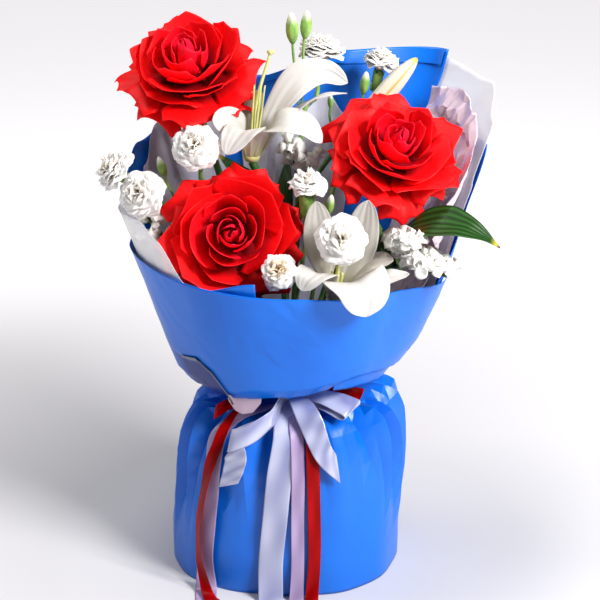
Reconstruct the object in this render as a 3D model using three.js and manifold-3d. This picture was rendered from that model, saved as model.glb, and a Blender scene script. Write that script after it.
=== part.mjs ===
// A hand-tied bouquet of three red roses, two white lilies and a lily bud, spray carnations and statice, wrapped in
// blue matt film with white and pearl film inside, tied at the waist with a white and a red satin ribbon.
// It stands on its cut stems and on the hem of the gathered film skirt. Millimetres, +Z up, the viewer at -Y.
// The origin is the centre of the middle stem's cut end. An angle round the bouquet is 0 at the front (-Y) and
// 90 degrees at the right (+X).

import * as THREE from "three";
import { mergeVertices } from "three/addons/utils/BufferGeometryUtils.js";
import Module from "manifold-3d";

const wasm = await Module();
wasm.setup();

// ---- Driving dimensions ----

const FILM = 0.9; // wall of every film sheet and ribbon
const PETAL = 0.8; // wall of petals and leaves

const WAIST_HEIGHT = 166; // middle of the tied waist
const NECK_LOW = 160; // the inner sheets start here and run up the neck
const NECK_HIGH = 175;
const COLLAR_FLOOR = 178; // height of the pouch that the sheets make above the waist
const NECK_RADIUS = 29.5; // the collar at the neck, outside all inner sheets
const NECK_STEP = 1.4; // between two sheets at the neck
const LAYER_STEP = 3.4; // between two sheets higher up

const ROSE_SIZE = 61; // reach of the outermost rose petals
const CARNATION_SIZE = 22;
const STEM = { rose: 3, lily: 3.4, carnation: 1.9, statice: 1.8 }; // stem radii
const FOOT_SPREAD = 2.5; // how much wider the bundle stands than it is at the waist
const FOOT_TWIST = 60; // turn of the spiralled stems between waist and table, in degrees

// The wrap's cone: its radius at each height, in nine directions.
const CONE_HEIGHTS = [178, 208, 245, 285, 320, 365, 410, 440];
const CONE = {
  "-180": [58, 68, 76, 84, 90, 96, 104, 110],
  "-135": [76, 88, 100, 112, 122, 134, 142, 146],
  "-90": [93, 104, 116, 130, 142, 158, 164, 168],
  "-45": [88, 98, 108, 119, 129, 138, 146, 150],
  "0": [84, 93, 103, 112, 121, 130, 138, 142],
  "45": [86, 99, 111, 121, 130, 139, 148, 152],
  "90": [93, 115, 132, 146, 158, 178, 200, 212],
  "128": [80, 98, 114, 128, 141, 160, 180, 190],
  "155": [66, 78, 90, 98, 105, 111, 119, 126],
};

const DEG = Math.PI / 180;

const colours = {
  blue: "#1f6fdc",
  white: "#eceaf2",
  lilac: "#c3c2dc",
  pearl: "#dcc8d2",
  whiteSatin: "#dfe0ef",
  redSatin: "#c4101a",
  rose: "#e00512",
  carnation: "#f5f3f2",
  lily: "#f4f1ea",
  stamen: "#b9bd55",
  bud: "#ece6bd",
  roseGreen: "#3d6b28",
  lilyGreen: "#275c1f",
  carnationGreen: "#7da24a",
  statice: "#eff0e6",
  twine: "#c9b38a",
};

function material(colour, roughness = 0.6) {
  return new THREE.MeshStandardMaterial({ color: colours[colour], roughness, metalness: 0 });
}

// ---- Small tools ----

// A seeded draw from 0 to 1.
function seeded(seed) {
  let state = seed * 7919 + 17;
  return () => {
    state = (state * 16807) % 2147483647;
    return state / 2147483647;
  };
}

function lerp(a, b, t) {
  return a + (b - a) * t;
}

// A value read from a list of [place, value] pairs, smooth between them.
function along(pairs, place) {
  if (place <= pairs[0][0]) return pairs[0][1];
  for (let i = 1; i < pairs.length; i++) {
    if (place <= pairs[i][0]) {
      const [a, va] = pairs[i - 1];
      const [b, vb] = pairs[i];
      const t = (place - a) / (b - a);
      return lerp(va, vb, t * t * (3 - 2 * t));
    }
  }
  return pairs[pairs.length - 1][1];
}

function vector(x, y, z) {
  return new THREE.Vector3(x, y, z);
}

function around(degrees, radius, height) {
  return new THREE.Vector3(radius * Math.sin(degrees * DEG), -radius * Math.cos(degrees * DEG), height);
}

// A thin closed sheet on the surface at(u, v), u and v from 0 to 1. closed joins u = 1 to u = 0.
function sheet(at, uSteps, vSteps, thickness, closed = false) {
  const columns = closed ? uSteps : uSteps + 1;
  const rows = vSteps + 1;
  const points = [];
  for (let i = 0; i < columns; i++) {
    for (let j = 0; j < rows; j++) points.push(at(i / uSteps, j / vSteps));
  }
  const point = (i, j) => {
    const column = closed ? (i + columns) % columns : Math.min(Math.max(i, 0), columns - 1);
    return points[column * rows + Math.min(Math.max(j, 0), rows - 1)];
  };
  const front = [];
  const back = [];
  for (let i = 0; i < columns; i++) {
    for (let j = 0; j < rows; j++) {
      const across = point(i + 1, j).clone().sub(point(i - 1, j));
      const up = point(i, j + 1).clone().sub(point(i, j - 1));
      const half = across.cross(up).normalize().multiplyScalar(thickness / 2);
      front.push(point(i, j).clone().add(half));
      back.push(point(i, j).clone().sub(half));
    }
  }
  const offset = front.length;
  const index = [];
  const id = (i, j) => ((closed ? i % columns : i) * rows + j);
  const quad = (a, b, c, d) => index.push(a, b, c, a, c, d);
  for (let i = 0; i < uSteps; i++) {
    for (let j = 0; j < vSteps; j++) {
      const [a, b, c, d] = [id(i, j), id(i + 1, j), id(i + 1, j + 1), id(i, j + 1)];
      quad(a, b, c, d);
      index.push(a + offset, c + offset, b + offset, a + offset, d + offset, c + offset);
    }
    quad(id(i, 0) + offset, id(i + 1, 0) + offset, id(i + 1, 0), id(i, 0));
    quad(id(i, vSteps), id(i + 1, vSteps), id(i + 1, vSteps) + offset, id(i, vSteps) + offset);
  }
  if (!closed) {
    for (let j = 0; j < vSteps; j++) {
      quad(id(0, j), id(0, j + 1), id(0, j + 1) + offset, id(0, j) + offset);
      quad(id(uSteps, j) + offset, id(uSteps, j + 1) + offset, id(uSteps, j + 1), id(uSteps, j));
    }
  }
  return new THREE.BufferGeometry().setFromPoints([...front, ...back]).setIndex(index);
}

// A geometry as a solid for joining and cutting, its faces turned outwards.
function solidOf(geometry) {
  const bare = (geometry.index ? geometry.toNonIndexed() : geometry).clone();
  bare.deleteAttribute("normal");
  bare.deleteAttribute("uv");
  const merged = mergeVertices(bare, 1e-3);
  const make = (triVerts) =>
    new wasm.Manifold(
      new wasm.Mesh({ numProp: 3, vertProperties: merged.attributes.position.array, triVerts }),
    );
  const triangles = new Uint32Array(merged.index.array);
  const solid = make(triangles);
  return solid.volume() < 0 ? make(triangles.reverse()) : solid;
}

function geometryOf(solid) {
  const mesh = solid.getMesh();
  const positions = new Float32Array(mesh.numVert * 3);
  for (let i = 0; i < mesh.numVert; i++) {
    positions.set(mesh.vertProperties.subarray(i * mesh.numProp, i * mesh.numProp + 3), i * 3);
  }
  return new THREE.BufferGeometry()
    .setAttribute("position", new THREE.BufferAttribute(positions, 3))
    .setIndex(new THREE.BufferAttribute(new Uint32Array(mesh.triVerts), 1));
}

// The pieces of one body joined.
function joined(geometries) {
  const whole = geometries.map(solidOf).reduce((a, b) => a.add(b));
  return geometryOf(largest(whole));
}

// The one body of a union: closed pockets inside it are filled, and a loose part is an error, so none is lost.
function largest(solid) {
  const bodies = solid.decompose().sort((a, b) => b.volume() - a.volume());
  const loose = bodies.slice(1).filter((body) => body.volume() > 0.5);
  if (loose.length) {
    const at = loose.map((body) => `${body.volume().toFixed(1)} mm3 at ${body.boundingBox().min.map(Math.round)}`);
    throw new Error(`a joined piece has a loose part: ${at.join("; ")}`);
  }
  return bodies[0];
}

const bouquet = new THREE.Group();

function addPiece(name, geometry, look, place = null) {
  const mesh = new THREE.Mesh(geometry, look);
  mesh.name = name;
  if (place) {
    mesh.position.copy(place.base);
    mesh.quaternion.copy(place.turn);
  }
  bouquet.add(mesh);
}

// A place for a flower: its base, and the turn that points its own +Z along the axis.
function facing(base, axis, spin = 0) {
  const turn = new THREE.Quaternion().setFromUnitVectors(
    new THREE.Vector3(0, 0, 1),
    new THREE.Vector3(...axis).normalize(),
  );
  const spun = new THREE.Quaternion().setFromAxisAngle(new THREE.Vector3(0, 0, 1), spin * DEG);
  return { base: new THREE.Vector3(...base), turn: turn.multiply(spun) };
}

// A point given in a flower's own frame, in the bouquet's frame.
function from(place, x, y, z) {
  return new THREE.Vector3(x, y, z).applyQuaternion(place.turn).add(place.base);
}

function moved(geometry, place) {
  return geometry.applyQuaternion(place.turn).translate(...place.base.toArray());
}

// A closed surface folded from the axis out and back to it, row by row. spot(i, k) gives row i at column k as
// [radius, height]; the first and the last row lie on the axis.
function folded(rowCount, columns, spot) {
  const points = [];
  for (let i = 0; i < rowCount; i++) {
    for (let k = 0; k < columns; k++) {
      const [radius, height] = spot(i, k);
      points.push(around((k * 360) / columns, radius, height));
    }
  }
  const index = [];
  for (let i = 0; i < rowCount - 1; i++) {
    for (let k = 0; k < columns; k++) {
      const [a, b] = [i * columns + k, i * columns + ((k + 1) % columns)];
      const [c, d] = [b + columns, a + columns];
      if (i > 0) index.push(a, b, c);
      if (i < rowCount - 2) index.push(a, c, d);
    }
  }
  return geometryOf(solidOf(new THREE.BufferGeometry().setFromPoints(points).setIndex(index)));
}

// A solid stalk of a few sides along a list of points.
function stalk(points, radius, steps, sides = 6) {
  const section = new THREE.Shape();
  for (let i = 0; i <= sides; i++) {
    const a = (i * 2 * Math.PI) / sides;
    section[i ? "lineTo" : "moveTo"](radius * Math.cos(a), radius * Math.sin(a));
  }
  const extrudePath = new THREE.CatmullRomCurve3(points);
  return new THREE.ExtrudeGeometry(section, { steps, extrudePath, bevelEnabled: false });
}

// A stem from the table up, its foot cut level.
function stem(points, radius, steps, sides = 5) {
  const geometry = stalk(points, radius, steps, sides);
  const { position } = geometry.attributes;
  for (let i = 0; i < position.count; i++) {
    if (position.getZ(i) < 3) position.setZ(i, 0);
  }
  return geometry;
}

function turnedProfile(pairs, sides) {
  return new THREE.LatheGeometry(pairs.map(([r, z]) => new THREE.Vector2(r, z)), sides).rotateX(Math.PI / 2);
}

// ---- Film sheets ----

function coneRadius(degrees, height) {
  const directions = Object.keys(CONE).map(Number).sort((a, b) => a - b);
  let angle = ((degrees + 180) % 360 + 360) % 360 - 180;
  const radiusIn = (direction) => {
    const row = CONE[String(direction === 180 ? -180 : direction)];
    for (let i = 1; i < CONE_HEIGHTS.length; i++) {
      if (height <= CONE_HEIGHTS[i] || i === CONE_HEIGHTS.length - 1) {
        const t = (height - CONE_HEIGHTS[i - 1]) / (CONE_HEIGHTS[i] - CONE_HEIGHTS[i - 1]);
        return lerp(row[i - 1], row[i], t);
      }
    }
  };
  const stops = [...directions, 180];
  return along(stops.map((direction) => [direction, radiusIn(direction)]), angle);
}

// One sheet of the wrap: it leaves the neck, turns up at the pouch and follows the cone to its top edge.
// layer counts inwards from the collar, top gives the edge's height at each angle.
function filmSheet(options) {
  const { from: start, to: end, layer, top, columns, rows } = options;
  const { floor = () => 0, ripple = 0, waves = 9, lean = 0 } = options;
  const inset = layer * LAYER_STEP;
  const neck = NECK_RADIUS - layer * NECK_STEP;
  const at = (u, v) => {
    const angle = lerp(start, end, u);
    const bottom = COLLAR_FLOOR + inset + floor(angle);
    const row = v * rows;
    if (row < 0.5) return around(angle, neck, NECK_LOW);
    if (row < 1.5) return around(angle, neck, NECK_HIGH + inset * 0.3);
    if (row < 2.5) return around(angle, coneRadius(angle, CONE_HEIGHTS[0]) - 5 - inset, bottom);
    const t = (row - 3) / (rows - 3);
    const height = lerp(bottom + 10, top(angle), t);
    const wave = ripple * t * Math.sin((waves * angle + 40 * layer) * DEG);
    return around(angle, coneRadius(angle, height) - inset - lean * t + wave, height);
  };
  return sheet(at, columns, rows, FILM);
}

const collarRim = (a) => along([[-112, 292], [-90, 290], [-45, 284], [0, 279], [45, 274], [86, 262]], a);
const collarFloor = (a) => along([[-110, -4], [-45, -4], [0, 2], [40, 9], [86, 0]], a);

addPiece(
  "wrap_front",
  filmSheet({ from: -112, to: 86, layer: 0, top: collarRim, floor: collarFloor, columns: 14, rows: 6 }),
  material("blue", 0.35),
);
addPiece(
  "wrap_right",
  filmSheet({
    from: 79, to: 128, layer: 1.15, columns: 4, rows: 7,
    top: (a) => along([[79, 262], [88, 300], [100, 367], [128, 372]], a),
  }),
  material("blue", 0.35),
);
addPiece(
  "wrap_corner",
  filmSheet({
    from: -38, to: -12, layer: 1.1, columns: 3, rows: 5,
    top: (a) => along([[-38, 279], [-12, 290]], a),
  }),
  material("blue", 0.35),
);
addPiece(
  "film_white_left",
  filmSheet({
    from: -106, to: -44, layer: 1.1, columns: 5, rows: 6,
    top: (a) => along([[-106, 314], [-92, 322], [-62, 326], [-54, 314], [-44, 282]], a),
  }),
  material("white", 0.4),
);
addPiece(
  "film_white_back",
  filmSheet({
    from: 88, to: 134, layer: 2.3, columns: 5, rows: 7,
    top: (a) => along([[88, 330], [97, 366], [108, 414], [126, 424], [142, 428]], a),
  }),
  material("white", 0.4),
);
addPiece(
  "wrap_back",
  filmSheet({
    from: 126, to: 262, layer: 3.6, columns: 12, rows: 7, ripple: 1,
    top: (a) => along([[123, 432], [156, 432], [192, 411], [225, 384], [250, 364], [262, 346]], a),
  }),
  material("blue", 0.35),
);
addPiece(
  "film_pearl_right",
  filmSheet({
    from: 80, to: 124, layer: 4.4, columns: 7, rows: 8, ripple: 2.4, waves: 22, lean: 8,
    top: (a) => along([[82, 322], [92, 366], [103, 392], [112, 406], [124, 404]], a),
  }),
  material("pearl", 0.3),
);
addPiece(
  "film_lilac_left",
  filmSheet({
    from: -148, to: -97, layer: 5.2, columns: 6, rows: 7, ripple: 2, waves: 14,
    top: (a) => along([[-148, 376], [-138, 390], [-129, 370], [-119, 378], [-107, 346], [-97, 318]], a),
  }),
  material("lilac", 0.4),
);
addPiece(
  "film_lilac_back",
  filmSheet({
    from: 146, to: 204, layer: 5.2, columns: 5, rows: 7, ripple: 2, waves: 12,
    top: (a) => along([[146, 372], [158, 396], [172, 380], [186, 392], [204, 368]], a),
  }),
  material("lilac", 0.4),
);

// The skirt's wall from the neck over the shoulder to the hem: [share of the way, radius], [share, height],
// once for the square right shoulder and once for the sloping left one.
const SKIRT = {
  right: [[32, 172], [32, 160], [40, 157], [78, 157], [95, 147], [102, 118], [105, 76], [104, 34], [104, 0]],
  left: [[32, 172], [32, 160], [40, 156], [60, 151], [79, 137], [91, 108], [99, 72], [104, 34], [104, 0]],
};
const SKIRT_DEPTH = 0.9; // the skirt is this much shallower than it is wide
const SKIRT_ROWS = SKIRT.right.length - 1;
const PLEATS = 14;

// A point on the skirt, or lift outside its highest pleats. row counts down its profile.
function onSkirt(degrees, row, lift = 0) {
  const i = Math.min(Math.floor(row), SKIRT_ROWS - 1);
  const t = row - i;
  const share = (1 + Math.sin(degrees * DEG)) / 2;
  const mix = (k, j) => lerp(SKIRT.left[j][k], SKIRT.right[j][k], share);
  const radius = lerp(mix(0, i), mix(0, i + 1), t);
  const height = lerp(mix(1, i), mix(1, i + 1), t);
  const fullness = Math.max(0, Math.min(1, (radius - 32) / 40)); // 0 at the neck, 1 from the shoulder out
  const gather = along([[0, 0], [2, 0.6], [4, 3.2], [6, 2], [7, 0.9], [8, 0.9]], row);
  const pleat = gather * (lift ? 1 : Math.cos(PLEATS * degrees * DEG));
  const corner = 1 + 0.03 * fullness * Math.cos(4 * (degrees - 38) * DEG);
  const depth = lerp(1, SKIRT_DEPTH, fullness);
  const slope = new THREE.Vector2(
    mix(1, i) - mix(1, i + 1),
    mix(0, i + 1) - mix(0, i),
  ).normalize();
  const r = radius * corner + pleat + lift * slope.x;
  return new THREE.Vector3(
    r * Math.sin(degrees * DEG),
    -r * Math.cos(degrees * DEG) * depth,
    height + lift * slope.y,
  );
}

addPiece(
  "wrap_skirt",
  sheet((u, v) => onSkirt(u * 360, v * SKIRT_ROWS), 2 * PLEATS, SKIRT_ROWS, FILM, true),
  material("blue", 0.35),
);

// ---- Ribbons ----

const LYING = FILM / 2 + 0.02; // centre height of a ribbon that lies on the table

// A strip along stations of [centre, half width], smooth between them.
function strip(stations, steps, across = 1) {
  const centre = new THREE.CatmullRomCurve3(stations.map(([p]) => p));
  const side = new THREE.CatmullRomCurve3(stations.map(([, w]) => w));
  const at = (u, v) => {
    const p = centre.getPoint(v);
    return p.setZ(Math.max(p.z, LYING)).addScaledVector(side.getPoint(v), u * 2 - 1);
  };
  return sheet(at, across, steps, FILM);
}

// A ribbon loop: a strip whose end runs back into its start.
function loop(stations, steps) {
  const centre = new THREE.CatmullRomCurve3(stations.map(([p]) => p), true);
  const side = new THREE.CatmullRomCurve3(stations.map(([, w]) => w), true);
  return sheet((u, v) => centre.getPoint(u).addScaledVector(side.getPoint(u), v * 2 - 1), steps, 1, FILM, true);
}

// Stations of a tail that hangs over the skirt: [angle, row, lift] with its half width laid round the skirt.
function tail(route, halfWidth, tilt = 0) {
  return route.map(([angle, row, lift]) => {
    const half = halfWidth * (row < 1 ? 0.55 : 1);
    const direction = around(angle + 90, 1, 0);
    direction.z = tilt;
    return [onSkirt(angle, row, lift), direction.normalize().multiplyScalar(half)];
  });
}

// The end of a tail that lies on the table in front of the skirt.
function onTable(points, halfWidth) {
  return points.map(([x, y, z]) => [new THREE.Vector3(x, y, z), new THREE.Vector3(halfWidth, 0, 0)]);
}

const WIDE = 10.5; // half width of the white ribbon
const NARROW = 5.5; // half width of the red ribbon

function band(radius, low, high, opening = 0) {
  const at = (u, v) => around(opening + u * (360 - 2 * opening), radius, lerp(low, high, v));
  return sheet(at, 40, 1, FILM, !opening);
}

function knot(x, y, z, size) {
  return new THREE.SphereGeometry(size, 6, 4).scale(1, 0.75, 1.05).translate(x, y, z);
}

const whiteTails = [
  // the wide tail down the middle
  strip([
    [vector(2, -40, 165), vector(6, 0, 1)],
    ...tail([[1, 3, 2.5], [0, 4, 2.5], [-3, 5, 2.5], [-5, 6, 2.5], [-7, 7, 3]], WIDE),
    ...onTable([[-13, -100, 3], [-15, -114, LYING], [-19, -138, LYING]], WIDE),
  ], 12),
  // the tail right of it, turned half edge on
  strip([
    [vector(5, -41, 164), vector(4, 0, 1)],
    ...tail([[6, 3, 2.2], [6, 4, 2.2], [6, 5, 2.2], [5.5, 6, 2.2], [5.5, 7, 2.4]], 5.5),
    ...onTable([[9, -100, 3], [8, -114, LYING], [5, -136, LYING]], 6),
  ], 12),
  // the left tail, behind the red one
  strip([
    [vector(-2, -41, 161), vector(3, 0, 3)],
    ...tail([[-20, 2.6, 3.4], [-33, 3.2, 3.4]], 6),
    ...tail([[-39, 4, 2.5], [-38.5, 4.8, 2.6], [-38, 5.5, 2.6], [-38, 6.2, 2.6], [-39, 7, 3]], 8.5),
    ...onTable([[-69, -80, 4], [-68.5, -92, LYING], [-67, -111, LYING]], 9),
  ], 14),
  // the short tail to the right, cut on the slant
  strip([
    [vector(6, -43, 170), vector(4, 0, 1)],
    [vector(13.5, -67, 169.5), vector(9.3, -1, 1)],
    [vector(23, -83, 155), vector(7.7, 1.8, 6.9)],
    [vector(32, -90, 135), vector(5, 1.8, 8)],
    [vector(43.8, -88, 119.6), vector(-1.8, 0.8, 13)],
  ], 9),
  // the left loop, out and folded back to a short tail
  strip([
    [vector(0, -43, 164), vector(0, -1, 6)],
    [vector(-4, -59, 165.5), vector(0, -2, 7)],
    [vector(-9, -76, 159), vector(0, -2.5, 8.5)],
    [vector(-24, -84, 152), vector(0.5, -2, 10.5)],
    [vector(-37, -82, 145), vector(2.5, -2, 10.5)],
    [vector(-41, -84, 137), vector(7, -3, 6)],
    [vector(-39.5, -83, 127), vector(9, -3, 3)],
    [vector(-42, -83.5, 115), vector(9.3, -3.5, 3.5)],
    [vector(-46.5, -83, 103), vector(9, -3.5, 3)],
  ], 14),
  // the right loop, pressed flat
  loop([
    [vector(4, -41, 165), vector(0, -1, 4)],
    [vector(31, -57, 171.5), vector(5, 3.5, 4)],
    [vector(52, -67, 167.5), vector(6.7, 5, 4.9)],
    [vector(55.5, -69.5, 164.5), vector(6.7, 5, 4.9)],
    [vector(51, -67, 162.5), vector(6.7, 5, 4.9)],
    [vector(32, -57, 166.3), vector(5, 3.5, 4)],
  ], 12),
];
addPiece(
  "ribbon_white",
  joined([band(33.8, 160.6, 170.6), knot(3, -39.4, 165, 8), ...whiteTails]),
  material("whiteSatin", 0.3),
);

// The red ribbon is knotted left of the white knot and passes behind it, open at the front.
const redTails = [
  strip([
    [vector(-25, -31, 164), vector(2, -3, 2)],
    [vector(-36, -48, 163), vector(3, -3, 2.5)],
    [onSkirt(-36, 3.7, 7), vector(5, -1.5, 2)],
    [onSkirt(-36.5, 4.3, 7), vector(5, -2, 1)],
    [onSkirt(-38.5, 4.9, 7), vector(4.2, -3.5, 0)],
    [onSkirt(-40.5, 5.6, 7), vector(2.5, -4.9, 0)],
    [onSkirt(-41.5, 6.3, 7), vector(2.3, -5, 0)],
    [onSkirt(-41, 7, 7.5), vector(2.6, -4.8, 0)],
    [vector(-70, -86, 12), vector(4.6, -3, 0)],
    [vector(-66, -95, 2.8), vector(5.3, 0.5, 0)],
    [vector(-60, -106, 3), vector(4.9, 2.4, 0)],
    [vector(-46, -125, LYING), vector(4.7, 2.8, 0)],
  ], 18),
  strip([
    [around(38, 35.6, 163.4), vector(2.5, 1.9, 0)],
    [onSkirt(22, 2.7, 2.9), vector(4, 0, 1)],
    ...tail([[15, 3.4, 2.6], [13.5, 4, 2.5], [13, 5, 2.6], [13, 6, 2.6], [13, 7, 3]], NARROW),
    ...onTable([[22, -102, 4], [23, -114, LYING], [25, -136, LYING]], NARROW),
  ], 13),
];
const redLoops = [
  loop([
    [vector(-27, -30, 164), vector(0, -1, 3.5)],
    [vector(-40, -50, 166), vector(0, -2, 6)],
    [vector(-55, -64, 163.5), vector(2, -1, 7)],
    [vector(-58, -62, 160), vector(1, 0, 6.5)],
    [vector(-42, -44, 160.8), vector(0, -1, 3)],
  ], 10),
  // the one that shows behind the white loop at the right
  loop([
    [around(38, 36, 164.5), vector(0, -0.4, 2)],
    [vector(44, -47, 173), vector(0.6, -0.6, 4)],
    [vector(62.5, -57, 173.5), vector(1.8, -0.4, 5.4)],
    [vector(60, -53, 172.5), vector(1.8, -0.4, 5.4)],
    [vector(43, -42, 171.5), vector(0.6, -0.6, 4)],
  ], 10),
];
addPiece(
  "ribbon_red",
  joined([band(35.2, 162.6, 168.6, 20), knot(-26.1, -29.7, 164.5, 5.5), ...redTails, ...redLoops]),
  material("redSatin", 0.3),
);

// ---- Stems ----

// Each stem has a slot in the bundle at the waist: [ring, place in the ring].
const RINGS = [[0, 1], [8.2, 6], [15.2, 9]]; // radius and number of slots

function slotAt([ring, place], height) {
  const [radius, count] = RINGS[ring];
  const t = Math.max(0, (WAIST_HEIGHT - height) / WAIST_HEIGHT); // 0 at the waist, 1 at the table
  const angle = (place * 360) / count + 20 * ring;
  const at = around(angle, radius, 0);
  const foot = around(angle + FOOT_TWIST, radius * FOOT_SPREAD, 0);
  return at.lerp(foot, t).setZ(height);
}

// The points of a stem from its cut end to the head, which it meets along the head's own axis.
function stemPoints(slot, place, bend, reach, via = []) {
  const head = from(place, 0, 0, -reach);
  const neck = from(place, 0, 0, -reach - bend);
  return [slotAt(slot, 0), slotAt(slot, 80), slotAt(slot, 150), slotAt(slot, 182), ...via, neck, head];
}

// ---- Leaves ----

// A leaf from its foot to its tip, arched by sag, broad in its middle, with a folded midrib.
function leaf(foot, tip, width, sag, up = vector(0, 0, 1), steps = 5, fold = 0.25, across = 2) {
  const run = tip.clone().sub(foot);
  const side = run.clone().cross(up).normalize();
  const rise = side.clone().cross(run).normalize();
  const at = (u, v) => {
    const s = u * 2 - 1;
    const half = (width / 2) * Math.max(0.12, Math.sin(Math.PI * Math.pow(0.06 + 0.9 * v, 0.8)));
    return foot.clone()
      .addScaledVector(run, v)
      .addScaledVector(rise, sag * 4 * v * (1 - v) + Math.abs(s) * half * fold)
      .addScaledVector(side, s * half);
  };
  return sheet(at, across, steps, PETAL);
}

// ---- Roses ----

// One whorl of rose petals: count, half the angle that a petal spans, how far its sides roll back, and its
// spine as [radius, height] from root to tip.
const WHORLS = [
  { count: 4, span: 46, roll: 1, lean: 2.6, rows: 2, start: 15, spine: [[7, 7], [23, 9], [25, 26], [25, 39]] },
  { count: 5, span: 37, roll: 6, lean: 3.4, rows: 2, start: 40, spine: [[7, 3], [32, 3], [40, 24], [48, 28]] },
  { count: 5, span: 38, roll: 8, lean: 4, rows: 3, start: 5, spine: [[7, 0], [36, -6], [58, 5], [ROSE_SIZE, -13]] },
];

function bezier(points, axis, t) {
  const [a, b, c, d] = points.map((p) => p[axis]);
  const s = 1 - t;
  return a * s * s * s + 3 * b * s * s * t + 3 * c * s * t * t + d * t * t * t;
}

function rosePetal(whorl, turn, draw) {
  const swell = 0.1 * (draw() - 0.5);
  const lift = (draw() - 0.5) * 3;
  const at = (u, v) => {
    const s = u * 2 - 1;
    const t = v * (1 - 0.26 * Math.abs(s)); // the pointed outline at the tip
    const breadth = 0.3 + 0.7 * Math.sin(Math.PI * Math.min(0.62, 0.04 + 0.62 * v));
    const angle = turn + s * whorl.span * breadth;
    const rolled = whorl.roll * s * s * v * v;
    const radius = bezier(whorl.spine, 0, t) * (1 + swell * v * v) + whorl.lean * s * v - 0.3 * rolled;
    const height = bezier(whorl.spine, 1, t) + lift * v * v - rolled;
    return around(angle, radius, height);
  };
  return sheet(at, 4, whorl.rows, PETAL);
}

function roseBloom(seed) {
  const draw = seeded(seed);
  const heart = turnedProfile([[0, -1.5], [9.4, -1.5], [10.5, 13], [11, 26], [6, 36], [2, 37], [0, 33]], 7);
  const petals = [heart];
  for (const whorl of WHORLS) {
    for (let k = 0; k < whorl.count; k++) {
      const turn = whorl.start + (360 / whorl.count) * k + (draw() - 0.5) * 10;
      petals.push(rosePetal(whorl, turn, draw));
    }
  }
  return joined(petals);
}

// A rose's green: stem, hip and five pointed sepals that bend down.
function roseStem(place, slot) {
  const rows = [[0, -15], [3, -15], [6, -10], [6, -4.4], [6, -3.2], [0, -3.2]];
  const hip = folded(rows.length, 10, (i, k) => {
    const sepal = (i === 3 || i === 4) && k % 2;
    return sepal ? [23, rows[i][1] - 9] : rows[i];
  });
  return joined([stem(stemPoints(slot, place, 18, 12), STEM.rose, 8), moved(hip, place)]);
}

const ROSES = {
  rose_left: { centre: [-80, 23, 435.5], axis: [-0.1, -0.52, 0.85], slot: [1, 4], seed: 3, spin: 72 },
  rose_front: { centre: [-43, -56, 314], axis: [0.03, -0.9, 0.43], slot: [1, 5], seed: 8, spin: 48 },
  rose_right: { centre: [89, -20, 377], axis: [0.22, -0.6, 0.77], slot: [1, 1], seed: 5, spin: 60 },
};
const BALL_CENTRE = 13; // from the petals' roots to the middle of the open bloom

for (const [name, rose] of Object.entries(ROSES)) {
  const axis = new THREE.Vector3(...rose.axis).normalize();
  const base = new THREE.Vector3(...rose.centre).addScaledVector(axis, -BALL_CENTRE);
  rose.place = facing(base.toArray(), rose.axis, rose.spin);
  addPiece(`${name}_bloom`, roseBloom(rose.seed), material("rose", 0.55), rose.place);
  addPiece(`${name}_stem`, roseStem(rose.place, rose.slot), material("roseGreen"));
}

// ---- Lilies ----

// One tepal along its spine, given from the flower's base, broad in the middle and troughed along its midrib.
// face is the way its upper side looks.
function tepal({ spine, width, face, trough = 0.22, tipWidth = 0.25 }) {
  const curve = new THREE.CatmullRomCurve3(spine.map((p) => vector(...p)));
  const inward = vector(-spine[0][0], -spine[0][1], 0).normalize();
  const outer = vector(...face).normalize();
  const at = (u, v) => {
    const s = u * 2 - 1;
    const look = inward.clone().lerp(outer, along([[0, 0], [0.6, 1]], v));
    const side = curve.getTangent(v).cross(look).normalize();
    const raised = side.clone().cross(curve.getTangent(v));
    const half = (width / 2) * along([[0, 0.24], [0.5, 1], [0.8, 0.82], [1, tipWidth]], v);
    const edge = Math.abs(s) * half * trough * (1 - 0.8 * v);
    return curve.getPoint(v).addScaledVector(side, s * half).addScaledVector(raised, edge);
  };
  return sheet(at, 2, 5, PETAL);
}

function lilyPetals(tepals) {
  const cup = [[0, -0.8], [5.4, -0.8], [7.2, 5], [4.6, 5], [0, 1.4]];
  return joined([turnedProfile(cup, 9), ...tepals.map(tepal)]);
}

// Pistil with its knob, and the filaments round it, on one receptacle.
function lilyStamens(length, lean, count = 6) {
  const tip = vector(lean[0], lean[1], length);
  const parts = [
    turnedProfile([[0, 2.4], [2.4, 4.4], [2.4, 9], [0, 10]], 6),
    stalk([vector(0, 0, 7), vector(lean[0] * 0.2, lean[1] * 0.2, length * 0.5), tip], 1.5, 5, 5),
    new THREE.SphereGeometry(3, 6, 4).scale(1, 1, 0.75).translate(tip.x, tip.y, tip.z),
  ];
  for (let k = 0; k < count; k++) {
    const a = (360 / count) * k + 15;
    const points = [around(a, 1.2, 7), around(a, 4.6, length * 0.7)]
      .map((p) => p.add(vector(lean[0] * 0.6 * (p.z / length), lean[1] * 0.6 * (p.z / length), 0)));
    parts.push(stalk(points, 0.8, 2, 4));
  }
  return joined(parts);
}

const LILY_HIGH = facing([-27.5, -5, 361], [0, 0, 1]);
const LILY_LOW = facing([40, -66, 262], [0, 0, 1]);

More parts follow.
